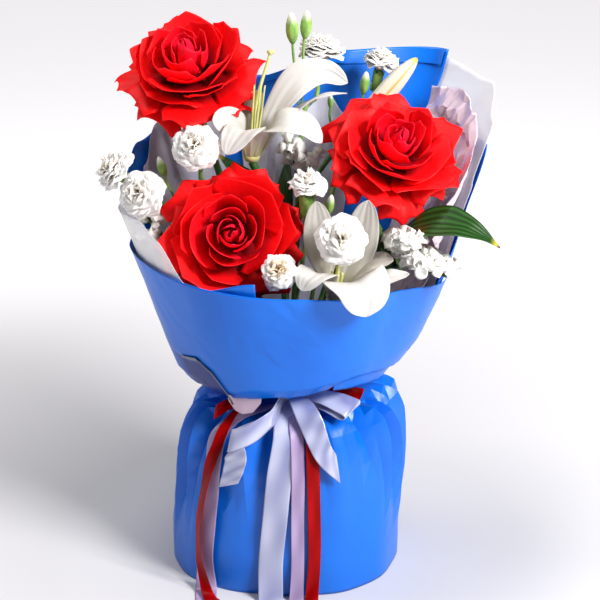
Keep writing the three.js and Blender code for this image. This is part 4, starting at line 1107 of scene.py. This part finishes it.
roses = {
    "rose_left": {
        "centre": (-80, 23, 435.5), "axis": (-0.1, -0.52, 0.85), "slot": (1, 4), "seed": 3, "spin": 72, "grow": 1.0,
        "heart": (0, 3),
    },
    "rose_front": {
        "centre": (-43, -56, 314), "axis": (0.03, -0.9, 0.43), "slot": (1, 5), "seed": 8, "spin": 48, "grow": 0.98,
        "heart": (-9, 5),
    },
    "rose_right": {
        "centre": (89, -20, 377), "axis": (0.22, -0.6, 0.77), "slot": (1, 1), "seed": 5, "spin": 60, "grow": 0.93,
        "heart": (3, 3),
    },
}
rose = {
    "ball": 13,
    "wall": 0.45,
    "seat": [(0, -4), (11, -3), (15, 1), (8, 6), (0, 8)],
    "calyx": [(0, -15), (3, -15), (5, -12.5), (6.4, -9), (6.4, -5), (5, -2.6), (0, -2)],
    "sepal": [(5, -3.4), (12, -6), (18, -10), (23, -16)],
    "sepals": 5,
    "sepalWidth": 3.4,
    "heartHeight": 38,
    "wander": 24,  # degrees that a petal may stand off its even place
    # how its petals differ from each other, as (least, most)
    "spanVaries": (0.84, 1.2),
    "lengthVaries": (0.9, 1.06),
    "tiltVaries": (-0.5, 0.5),
    "rollVaries": (0.3, 1.5),
    "swell": 0.2,
    "wave": 1.2,
    # its rim: where the corners stand, how far they reach, and how far its two ends do
    "tipPlaces": (-0.3, -0.2, 0, 0.2, 0.3),
    "rimCorner": 0.8,
    "cornerReach": (0.82, 0.98),
    "endReach": 0.68,
    "keelStep": 0.9,
    # petals, half the angle each spans, where the first stands, how far its margins roll back, how much one side lies
    # over its neighbour, how far it takes the heart's lighter pinkish crimson (painted light shining through the inner
    # petals), how deep the hollows of its rim are, and its spine as (radius, height)
    "whorls": [
        (3, 56, 20, 0, 1.0, 0.7, 0.04, [(1.5, 6), (7, 12), (10, 28), (1.5, 40)]),
        (3, 70, 80, 1, 2.2, 0.5, 0.07, [(4, 6), (11, 10), (14, 26), (10, 38)]),
        (3, 66, 20, 3, 2.8, 0.3, 0.11, [(5, 6), (18, 8), (21, 26), (20, 38)]),
        (4, 56, 55, 6, 3.4, 0.12, 0.15, [(7, 7), (25, 7), (31, 25), (32, 35)]),
        (4, 50, 12, 8, 3.8, 0.04, 0.19, [(7, 5), (30, 3), (41, 22), (45, 27)]),
        (5, 40, 40, 10, 4.2, 0, 0.24, [(7, 3), (34, 0), (49, 18), (56, 17)]),
        (5, 35, 70, 12, 4.4, 0, 0.28, [(7, 1), (35, -3), (54, 9), (63, 1)]),
        (5, 30, 28, 12, 4.4, 0, 0.3, [(7, 0), (36, -8), (57, 0), (64, -14)]),
    ],
}


def rosePetal(bm, whorl, turn, draw):
    _, span, _, roll, lean, tone, hollow, spine = whorl
    span *= draw.uniform(*rose["spanVaries"])
    long = draw.uniform(*rose["lengthVaries"])
    swell = rose["swell"] * (draw.random() - 0.5)
    rise = (draw.random() - 0.5) * (3 + roll)
    tilt = draw.uniform(*rose["tiltVaries"]) * roll
    phase = draw.uniform(0, 6)
    left, right = (roll * draw.uniform(*rose["rollVaries"]) for _ in range(2))
    tip = draw.choice(rose["tipPlaces"])
    # the rim runs in hollow arcs between three corners: (place across, reach)
    end, corner = rose["endReach"], rose["rimCorner"]
    first, last = (draw.uniform(*rose["cornerReach"]) for _ in range(2))
    rim = [(-1, end), (-corner, first), (tip, 1), (corner, last), (1, end)]

    def reach(s):
        for (a, low), (b, high) in zip(rim, rim[1:]):
            if s <= b + 1e-6:
                t = max(0, (s - a) / (b - a))
                return lerp(low, high, t) - hollow * (b - a) * 4 * t * (1 - t) * 0.8
        return rim[-1][1]

    def spot(u, v):
        s = u * 2 - 1
        t = v * (1 - (1 - reach(s)) * v)
        breadth = 0.28 + 0.72 * math.sin(math.pi / 2 * min(1, 0.05 + 1.05 * v))
        angle = turn + s * span * breadth
        radius, height = bezier(spine, min(1, t))
        side = (left if s < tip else right) * max(0, abs(s - tip) - 0.25) ** 1.5 * v**1.5
        pinch = 0.12 * roll * math.cos(2 * math.pi * (s - tip) / rose["keelStep"]) * v**2  # a keel runs to each corner
        radius = radius * (1 + swell * v * v) * lerp(1, long, v) + lean * s * v - 0.4 * side
        radius += rose["wave"] * math.sin(3.4 * s + phase) * v * v
        height += (rise + tilt * s) * v * v - side + pinch
        height += rose["wave"] * math.sin(4.6 * s + phase + 2) * v**3
        return around(angle, max(radius, 0.6), height)

    addGrid(bm, 20, 14, spot, tone)


def makeRose(name, spec):
    draw = random.Random(spec["seed"])
    axis = Vector(spec["axis"]).normalized()
    place = facing(Vector(spec["centre"]) - axis * rose["ball"], axis, spec["spin"])
    bm = newShape()
    for i, whorl in enumerate(rose["whorls"]):
        count, _, start = whorl[:3]
        if i == 2:  # the two inner whorls, still folded, lean to one side
            for vert in bm.verts:
                vert.co += Vector((*spec["heart"], 0)) * (vert.co.z / rose["heartHeight"]) * mm
        for k in range(count):
            rosePetal(bm, whorl, start + 360 / count * k + (draw.random() - 0.5) * rose["wander"], draw)
    addTurned(bm, rose["seat"], Matrix.Identity(4), 20)  # the petals' feet stand in it
    bmesh.ops.transform(bm, matrix=Matrix.Scale(mm, 4) @ place @ Matrix.Scale(spec["grow"] / mm, 4), verts=bm.verts)
    finishPiece(name + "_petals", bm, "rosePetal", [name + "_bloom"], rose["wall"])
    bm = newShape()
    addTube(bm, stemPath(spec["slot"], place, 18, 12), 3, 10, 60)
    addTurned(bm, rose["calyx"], place, 16)
    for k in range(rose["sepals"]):  # they bend down under the bloom
        turn = 360 / rose["sepals"] * (k + 0.5)
        curve = curveThrough([around(turn, r, z) for r, z in rose["sepal"]])
        across = around(turn + 90, 1, 0)

        def spot(s, v, lift, curve=curve, across=across):
            half = rose["sepalWidth"] * (1 - v) ** 0.7 + 0.15
            return place @ (curve(v) + across * (s * half) + Vector((0, 0, lift)))

        addBlade(bm, 4, 12, spot)
    finishPiece(name + "_green", bm, "roseGreen", [name + "_stem"])


for name, spec in roses.items():
    makeRose(name, spec)
print("roses made")

# Lilies

lilies = {
    "lily_high": {
        "base": (-27.5, -5, 361), "pistil": 90, "lean": (16, -4),
        "tepals": [
            {
                "spine": [(4, 3, 2), (14, 12, 28), (36, 23, 60), (59, 28, 68), (79, 30, 58)],
                "width": 29, "face": (-0.3, -0.8, 0.5), "tip": 1.25,
            },
            {
                "spine": [(5, 0, 2), (21, 1, 25), (40, 5, 42), (58, 8, 52), (78, 10, 54)],
                "width": 23, "face": (-0.3, 0.1, 1),
            },
            {
                "spine": [(3, -4, 2), (11, -10, 24), (27, -14, 36), (44, -16, 33), (57, -20, 20)],
                "width": 32, "face": (0.1, -0.5, 0.9), "tip": 1.3,
            },
            {
                "spine": [(-1, -5, 2), (0, -13, 22), (-5, -24, 32), (-12, -32, 26), (-19, -38, 15)],
                "width": 34, "face": (-0.3, -0.5, 0.8),
            },
            {
                "spine": [(-5, -1, 2), (-10, -5, 22), (-19, -10, 34), (-31, -15, 38)],
                "width": 30, "face": (0.3, -0.85, 0.5),
            },
            {
                "spine": [(-2, 5, 2), (-2, 7, 26), (2, 7, 46), (7, 7, 57)],
                "width": 17, "face": (0, -1, 0.2), "tone": 0.7,
            },
        ],
    },
    "lily_low": {
        "base": (40, -66, 262), "pistil": 34, "lean": (3, -6), "thick": 1.5,
        "tepals": [
            {
                "spine": [(2, -4, 2), (8, -20, 18), (14, -38, 29), (21, -48, 24), (24, -51, 5)],
                "width": 50, "face": (0.1, -0.5, 1), "trough": 0.42, "tip": 2.4,
            },
            {
                "spine": [(5, 1, 2), (16, 2, 20), (30, -2, 32), (46, -8, 36)],
                "width": 30, "face": (-0.4, -0.2, 1), "tone": 0.5,
            },
            {
                "spine": [(5, -3, 2), (20, -12, 16), (40, -18, 25), (58, -20, 29)],
                "width": 20, "face": (-0.2, -0.3, 1),
            },
            {
                "spine": [(-4, -3, 2), (-9, -16, 20), (-14, -28, 33), (-22, -36, 31), (-27, -39, 22)],
                "width": 32, "face": (-0.4, -0.6, 0.8),
            },
            {
                "spine": [(-4, 3, 2), (-9, 5, 30), (-13, 5, 58), (-15, 6, 81)],
                "width": 27, "face": (0.1, -1, 0.1), "tone": 0.35,
            },
            {
                "spine": [(2, 4, 2), (12, 6, 28), (21, 6, 54), (26, 5, 82)],
                "width": 31, "face": (-0.1, -1, 0.1), "tone": 0.3,
            },
        ],
    },
}
lily = {
    "wall": 0.5,
    "cup": [(0, -0.8), (3.4, -0.8), (5.4, 0), (6.8, 2.6), (7.0, 4.6), (5.6, 5), (4.2, 3.4), (0, 1.8)],
    "stigma": [(0, -2.2), (1.8, -1.6), (3, 0), (2.6, 1.5), (1.2, 2), (0, 1.8)],
    "pistil": (1.9, 0.7),  # its radius, and how much it loses on the way up
    "filaments": 5,
    "filamentStart": 15,
}


def addTepal(bm, tepal, place, seed):
    curve = curveThrough(tepal["spine"])
    foot = Vector(tepal["spine"][0])
    inward = Vector((-foot.x, -foot.y, 0)).normalized()
    outer = Vector(tepal["face"]).normalized()
    trough = tepal.get("trough", 0.22)
    phase = seed * 1.7

    def spot(u, v):
        s = u * 2 - 1
        ahead = (curve(min(v + 0.02, 1)) - curve(max(v - 0.02, 0))).normalized()
        look = inward.lerp(outer, along([(0, 0), (0.6, 1)], v))
        side = ahead.cross(look).normalized()
        raised = side.cross(ahead)
        taper = math.sqrt(max(0.0016, 1 - (max(0, v - 0.55) / 0.45) ** tepal.get("tip", 1.7)))
        half = tepal["width"] / 2 * along([(0, 0.24), (0.5, 1), (1, 0.92)], v) * taper
        keel = math.exp(-((s * 5) ** 2)) * -0.9 * (1 - 0.5 * v)  # the midrib's groove
        edge = abs(s) ** 1.3 * half * trough * (1 - 0.8 * v)
        frill = 1.1 * math.sin(v * 17 + phase + 2 * s) * abs(s) ** 3 * math.sin(math.pi * v)
        return place @ (curve(v) + side * (s * half) + raised * (edge + keel + frill))

    addGrid(bm, 14, 26, spot, tepal.get("tone", 0))


def makeLily(name, spec):
    place = Matrix.Translation(spec["base"])
    bm = newShape()
    for seed, tepal in enumerate(spec["tepals"]):
        addTepal(bm, tepal, place, seed)
    finishPiece(name + "_tepals", bm, "lilyTepal", [name + "_petals"], lily["wall"], 1)
    bm = newShape()
    addTurned(bm, lily["cup"], place, 24)
    leanX, leanY = spec["lean"]
    length = spec["pistil"]
    tip = Vector((leanX, leanY, length))
    points = [Vector((0, 0, 5)), Vector((leanX * 0.2, leanY * 0.2, length * 0.5)), tip]
    wide, loss = lily["pistil"]
    addTube(bm, [place @ p for p in points], lambda t: wide - loss * t, 10, 20)
    addTurned(bm, lily["stigma"], place @ Matrix.Translation(tip), 18, keeled(3, 0.14))
    thick = spec.get("thick", 1)
    for k in range(lily["filaments"]):
        turn = 360 / lily["filaments"] * k + lily["filamentStart"]
        path = []
        for z, r in ((6, 1.2), (length * 0.35, 3.4), (length * 0.7, 4.6)):
            path.append(place @ (around(turn, r, z) + Vector((leanX, leanY, 0)) * 0.6 * (z / length)))
        addTube(bm, path, lambda t: thick * (1 - 0.35 * t), 8, 12)
    finishPiece(name + "_heart", bm, "lilyHeart", [name + "_stamens"])


for name, spec in lilies.items():
    makeLily(name, spec)

bud = {
    "base": (58, 46, 375),
    "axis": (0.66, 0.1, 0.74),
    "profile": [
        (0, -0.7), (2.4, -0.5), (3.8, 1), (5, 6), (6.4, 14), (7.8, 26), (8.6, 38),
        (8.4, 50), (7.4, 60), (5.8, 69), (4.2, 74.5), (2.2, 78.6), (0, 80),
    ],
}


def makeBud():
    bm = newShape()
    place = facing(bud["base"], bud["axis"])
    layer = bm.verts.layers.float["tone"]
    for vert in addTurned(bm, bud["profile"], place, 36, keeled(3, 0.07, 0.02)):  # three keels with a seam between them
        local = place.inverted() @ (vert.co / mm)
        vert[layer] = max(0, math.cos(3 * math.atan2(local.x, -local.y))) ** 10  # the keels are yellow
    finishPiece("budTepals", bm, "lilyBud", ["lily_bud"], 0, 1)
    return place


budPlace = makeBud()
highPlace = Matrix.Translation(lilies["lily_high"]["base"])
lowPlace = Matrix.Translation(lilies["lily_low"]["base"])


def makeLilyGreens():
    bm = newShape()
    foot, _, low, _ = (slotAt((0, 0), height) for height in stems["heights"])
    head = [highPlace @ Vector((8, 2, -18)), highPlace @ Vector((0, 0, -1.2))]
    addTube(bm, [foot, low, (0, 1, 220), (-5, 2, 310), *head], 3.4, 12, 60)
    head = [budPlace @ Vector((0, 0, -14)), budPlace @ Vector((0, 0, -1))]
    addTube(bm, [(-4, 2, 296), (26, 30, 338), *head], 2.2, 10, 24)
    addTube(bm, stemPath((1, 0), lowPlace, 22, 1.2), 3.4, 12, 60, 1)
    addTube(bm, [(34, -56, 228), (60, -54, 262), (86, -46, 298), (101, -43, 312)], 1.6, 8, 24)
    finishPiece("lilyStems", bm, "lilyGreen", ["lily_high_stem", "lily_low_stem"])
    bm = newShape()
    addLeaf(bm, (-6, 0, 314), (-56, -2, 366), 20, 6, (0.2, -0.9, 0.4), 0.15)
    addLeaf(bm, (-4, 0, 288), (2, 56, 350), 16, 6)
    finishPiece("innerLeaves", bm, "leaf", ["lily_high_stem"], leaf["wall"], 1)
    bm = newShape()
    addLeaf(bm, (95, -41, 309), (172, -60, 304), 35, 20, (0.1, -0.5, 0.9), 0.16, 16, 44)
    finishPiece("longLeaf", bm, "leaf", ["lily_low_stem"], leaf["wall"], 1)


makeLilyGreens()
print("lilies made")

# Carnations

carnations = {
    "carnation_far_left": {"base": (-134, -12, 350), "axis": (-0.7, -0.25, 0.6), "size": 21, "open": 0.7},
    "carnation_left": {"base": (-114, -27, 338), "axis": (-0.35, -0.8, 0.45), "size": 22, "open": 1},
    "carnation_mid": {"base": (-71, -29, 377), "axis": (-0.05, -0.8, 0.55), "size": 21, "open": 0.9},
    "carnation_top": {"base": (29, 62, 430), "axis": (0.1, 0.15, 0.9), "size": 24, "open": 0.75},
    "carnation_back": {"base": (80, 70, 420), "axis": (0.2, -0.1, 0.95), "size": 19, "open": 0.35},
    "carnation_centre": {"base": (18, -48, 347), "axis": (0.05, -0.3, 0.95), "size": 18, "open": 0.6},
    "carnation_front": {"base": (44, -86, 318), "axis": (0.05, -0.85, 0.5), "size": 23, "open": 1},
    "carnation_low": {"base": (-3.5, -84, 290), "axis": (-0.1, -0.75, 0.6), "size": 18, "open": 0.6, "core": 0.9},
}
carnation = {
    "full": 22,
    "wall": 0.35,
    # petals in the layer, how far out the rim reaches, its height, half the petal's width
    "layers": [
        (6, 1.0, 1, 13), (7, 0.95, 5.5, 12.5), (6, 0.8, 9.5, 12),
        (6, 0.6, 12.5, 10.5), (5, 0.4, 15, 9), (4, 0.2, 17, 7),
    ],
    "core": 0.25,  # how cream the inner layers are
    "shut": (0.28, 9),  # what a shut flower's outer petals lose in reach, and gain in height
    "turn": 17,
    # how its petals differ from each other, as (least, most)
    "teeth": (3.5, 5),
    "tiltVaries": (-3, 3),
    "reachVaries": (0.84, 1.02),
    "heightVaries": (-1.5, 1.5),
    "ruffleVaries": (1.4, 2.4),
    "notch": 0.05,
}


def carnationPetal(bm, place, turn, reach, height, half, tone, draw):
    phase = draw.uniform(0, 6)
    teeth = draw.uniform(*carnation["teeth"])
    tilt = draw.uniform(*carnation["tiltVaries"])
    reach *= draw.uniform(*carnation["reachVaries"])
    height += draw.uniform(*carnation["heightVaries"])
    ruffle = draw.uniform(*carnation["ruffleVaries"])
    spine = [(1.0, -0.5), (reach * 0.2, height * 0.8 + 3), (reach * 0.7, height + 4.5), (reach, height)]
    out = around(turn, 1, 0)
    across = around(turn + 90, 1, 0)

    def spot(u, v):
        s = u * 2 - 1
        notch = 1 - carnation["notch"] * abs(math.sin(teeth * math.pi * s / 2 + phase)) * max(0, v - 0.6) / 0.4
        t = v * notch * (1 - 0.22 * s * s)
        radius, z = bezier(spine, min(t, 1))
        width = half * (0.1 + 0.9 * math.sin(math.pi * min(0.5, 0.56 * v)))
        z += ruffle * math.sin(4.2 * s + phase) * v**2 + 0.4 * math.sin(11 * s + 2 * phase) * v**3 + tilt * s * v
        radius += ruffle * 0.8 * math.sin(3.6 * s + phase + 1.3) * v**2 - 0.16 * half * s * s * v
        return place @ (out * radius + across * (s * width) + Vector((0, 0, z)))

    addGrid(bm, 16, 8, spot, tone)


def makeCarnation(name, spec, seed):
    draw = random.Random(seed)
    place = facing(spec["base"], spec["axis"], carnation["turn"] * seed)
    bm = newShape()
    grow = spec["size"] / carnation["full"]
    shut = 1 - spec["open"]
    loss, gain = carnation["shut"]
    for k, (count, reach, height, half) in enumerate(carnation["layers"]):
        outer = 1 - k / 5
        far = reach * spec["size"] * (1 - loss * shut * outer)
        high = (height + gain * shut * outer) * grow
        tone = min(1, spec.get("core", carnation["core"]) * max(0, (k - 2) / 3))
        start = draw.uniform(0, 360)
        for i in range(count):
            turn = start + 360 / count * (i + draw.uniform(-0.2, 0.2))
            carnationPetal(bm, place, turn, far, high, half * grow, tone, draw)
    finishPiece(name + "_petals", bm, "carnationPetal", [name], carnation["wall"])
    return place


heads = {name: makeCarnation(name, spec, i + 1) for i, (name, spec) in enumerate(carnations.items())}
print("carnations made")

calyx = {
    "profile": [
        (0, -19.5), (1.6, -19.2), (2.6, -17.6), (3.8, -14.5), (4.5, -11), (4.8, -6), (5.0, -1.5), (3.6, -3), (0, -4),
    ],
    "teeth": 5,
    "toothHeight": 3.2,
    "scales": 4,
    "scaleStart": 30,
}
budProfile = [(0, -1), (1.5, -0.8), (2.6, 1), (4, 4.5), (4.6, 8.5), (4.3, 13), (3.2, 17), (1.7, 20.2), (0, 22)]


def addCalyx(bm, place, size=1):
    place = place @ Matrix.Scale(size, 4)

    def teeth(point, u, v):
        rise = calyx["toothHeight"] * max(0, 1 - abs(v - 0.75) / 0.125) * abs(math.cos(math.pi * calyx["teeth"] * u))
        return Vector((point.x, point.y, point.z + rise))

    addTurned(bm, calyx["profile"], place, 30, teeth)
    for k in range(calyx["scales"]):  # they hug its foot
        turn = 360 / calyx["scales"] * k + calyx["scaleStart"]
        out = around(turn, 1, 0)
        across = around(turn + 90, 1, 0)

        def spot(s, v, lift, out=out, across=across):
            radius = 3.2 + 1.5 * math.sin(math.pi * 0.5 * min(1, v * 1.2)) + lift
            return place @ (out * radius + across * (s * 2.2 * (1 - v) ** 0.6) + Vector((0, 0, -18.6 + 8 * v)))

        addBlade(bm, 4, 5, spot)


def addBud(bm, place, size):
    layer = bm.verts.layers.float["tone"]
    for vert in addTurned(bm, budProfile, place, 20, keeled(5, 0.05, size=size)):
        height = (place.inverted() @ (vert.co / mm)).z / size
        vert[layer] = min(1, max(0, height - 15.5) / 3)  # petals show at the tip


sprays = {
    "spray_left": {
        "slot": (2, 6), "first": "carnation_left", "fork": (-76, -12, 300), "others": ["carnation_far_left"],
        "buds": [((-98, -19, 352), (-0.3, -0.1, 1), 0.8)], "leaves": [((-62, -10, 280), (-92, 16, 318))],
    },
    "spray_mid": {
        "slot": (2, 5), "first": "carnation_mid", "fork": (-66, 14, 318),
        "leaves": [((-57.6, 14.4, 296), (-72, 32, 336))],
    },
    "spray_top": {
        "slot": (2, 3), "first": "carnation_top", "fork": (13, 42, 372),
        "leaves": [((10, 36, 340), (-16, 52, 382))],
        "buds": [((6, 40, 450), (-0.05, 0, 1), 1.15), ((16, 45, 453), (0.1, 0, 1), 1.05)],
    },
    "spray_back": {
        "slot": (2, 2), "first": "carnation_back", "fork": (48, 64, 346),
        "leaves": [((41.3, 55.8, 322), (68, 66, 366))],
        "buds": [((66, 62, 402), (0.15, 0, 1), 0.9), ((38, 52, 392), (0, 0, 1), 0.55)],
    },
    "spray_centre": {
        "calyx": 1.3, "slot": (2, 8), "first": "carnation_centre", "fork": (17, -36, 304),
        "buds": [((34, -46, 328), (0.2, -0.3, 1), 0.85)],
    },
    "spray_front": {"slot": (2, 0.35), "first": "carnation_front", "fork": (39, -38, 284)},
    "spray_low": {"slot": (2, 7.3), "first": "carnation_low", "fork": (0, -44, 256)},
}


def makeSpray(name, spec):
    bm = newShape()
    fork = Vector(spec["fork"])
    first = heads[spec["first"]]
    addTube(bm, stemPath(spec["slot"], first, 14, 17, [fork]), 1.9, 10, 60)
    addCalyx(bm, first, spec.get("calyx", 1))
    for other in spec.get("others", ()):
        place = heads[other]
        addTube(bm, [fork, place @ Vector((0, 0, -30)), place @ Vector((0, 0, -17))], 1.4, 8, 16)
        addCalyx(bm, place)
    for base, axis, size in spec.get("buds", ()):
        place = facing(base, axis)
        addTube(bm, [fork, place @ Vector((0, 0, -12)), place @ Vector((0, 0, 1))], 1.1, 8, 16)
        addBud(bm, place, size)
    for foot, tip in spec.get("leaves", ()):
        addBlade(bm, 4, 16, leafSpot(foot, tip, 6, 5, (0, 0.3, 1)))
    finishPiece(name + "_green", bm, "carnationGreen", [name])


for name, spec in sprays.items():
    makeSpray(name, spec)
print("sprays made")

# Statice: papery cups crowded along winged twigs

statices = {
    "statice_right": {
        "slot": (2, 0.75), "fork": (88, -38, 280), "cup": 3.5, "seed": 4, "reach": 11,
        "twigs": [((97, -67, 308), 48), ((113, -72, 287), 56), ((130, -60, 280), 52)],
        "leaves": [
            ((84, -36, 276), (72, -44, 326)), ((88, -40, 272), (76, -58, 304)), ((96, -44, 278), (88, -70, 298)),
        ],
    },
    "statice_centre": {
        "slot": (1, 2.4), "fork": (13, 28, 318), "cup": 3.5, "seed": 9, "reach": 7,
        "twigs": [((4, 16, 366), 18), ((22, 12, 358), 16)],
    },
    "statice_left": {
        "slot": (2, 6.6), "fork": (-80, -34, 268), "cup": 3.2, "seed": 6, "reach": 6,
        "twigs": [((-117, -22, 320), 13), ((-116.4, -35.2, 302), 12)],
    },
}


statice = {
    "stem": 1.8,
    "twig": 1.4,
    "stalk": 0.7,
    "firstCup": 0.45,  # how far up its twig the first cup stands
    "step": 137.5,  # degrees from one cup to the next
    "cupVaries": (0.75, 1.1),
    "bractEvery": 3,
}
cupProfile = [(0, -0.3), (0.5, 0), (1.0, 0.8), (1.5, 1.95), (0.8, 1.4), (0.0, 1.1)]


def addCup(bm, place, size, draw):
    phase = draw.uniform(0, 6)

    def lobed(point, u, v):
        rim = max(0, 1 - abs(v - 0.6) / 0.4)
        pull = 1 + 0.25 * rim * math.cos(10 * math.pi * u + phase)
        return Vector((point.x * pull, point.y * pull, point.z + 0.3 * rim * math.cos(20 * math.pi * u))) * size

    addTurned(bm, cupProfile, place, 10, lobed)


def makeStatice(name, spec):
    draw = random.Random(spec["seed"])
    green = newShape()
    white = newShape()
    fork = Vector(spec["fork"])
    slot = spec["slot"]
    foot, _, low, neck = (slotAt(slot, height) for height in stems["heights"])
    addTube(green, [foot, low, neck, fork], statice["stem"], 12, 50, ribs=0.25)
    for tip, cups in spec["twigs"]:
        tip = Vector(tip)
        path = [fork, fork.lerp(tip, 0.5) + Vector((0, 0, 6)), tip]
        addTube(green, path, statice["twig"], 8, 14, ribs=0.3)
        run = curveThrough(path)
        for k in range(cups):
            centre = run(lerp(statice["firstCup"], 1, k / (cups - 1)))
            lean = around(k * statice["step"] + draw.uniform(0, 30), 0.8, 0.2 + 0.8 * draw.random()).normalized()
            tuft = centre + lean * draw.uniform(0.2, 1) * spec["reach"]
            addTube(green, [centre, tuft], statice["stalk"], 5, 2)
            addCup(white, facing(tuft, lean), spec["cup"] * draw.uniform(*statice["cupVaries"]), draw)
            if k % statice["bractEvery"] == 0:
                end = centre.lerp(tuft, 0.9) + Vector((0, -2, -3))
                addBlade(green, 2, 3, leafSpot(centre, end, 4, 0.6, (0.1, -0.6, 1)))
    for foot, end in spec.get("leaves", ()):
        addBlade(green, 4, 12, leafSpot(foot, end, 12, 3, (0.2, -0.9, 0.4)))
    finishPiece(name + "_twigs", green, "staticeGreen", [name])
    finishPiece(name + "_cups", white, "staticeCup", [name])


for name, spec in statices.items():
    makeStatice(name, spec)
print("statice made")

# The twine round the stems, under the film

tie = {"radius": 21, "low": 148.8, "high": 157.2, "turns": 4, "thick": 1.1, "perTurn": 12}


def makeTie():
    bm = newShape()
    steps = tie["perTurn"] * tie["turns"]
    step = 360 / tie["perTurn"]
    coil = [around(i * step, tie["radius"], lerp(tie["low"], tie["high"], i / steps)) for i in range(steps + 1)]
    addTube(bm, coil, tie["thick"], 10, 240)
    finishPiece("twineTie", bm, "twine", ["binding_tie"])


makeTie()
print("tie made")

print("all pieces made")
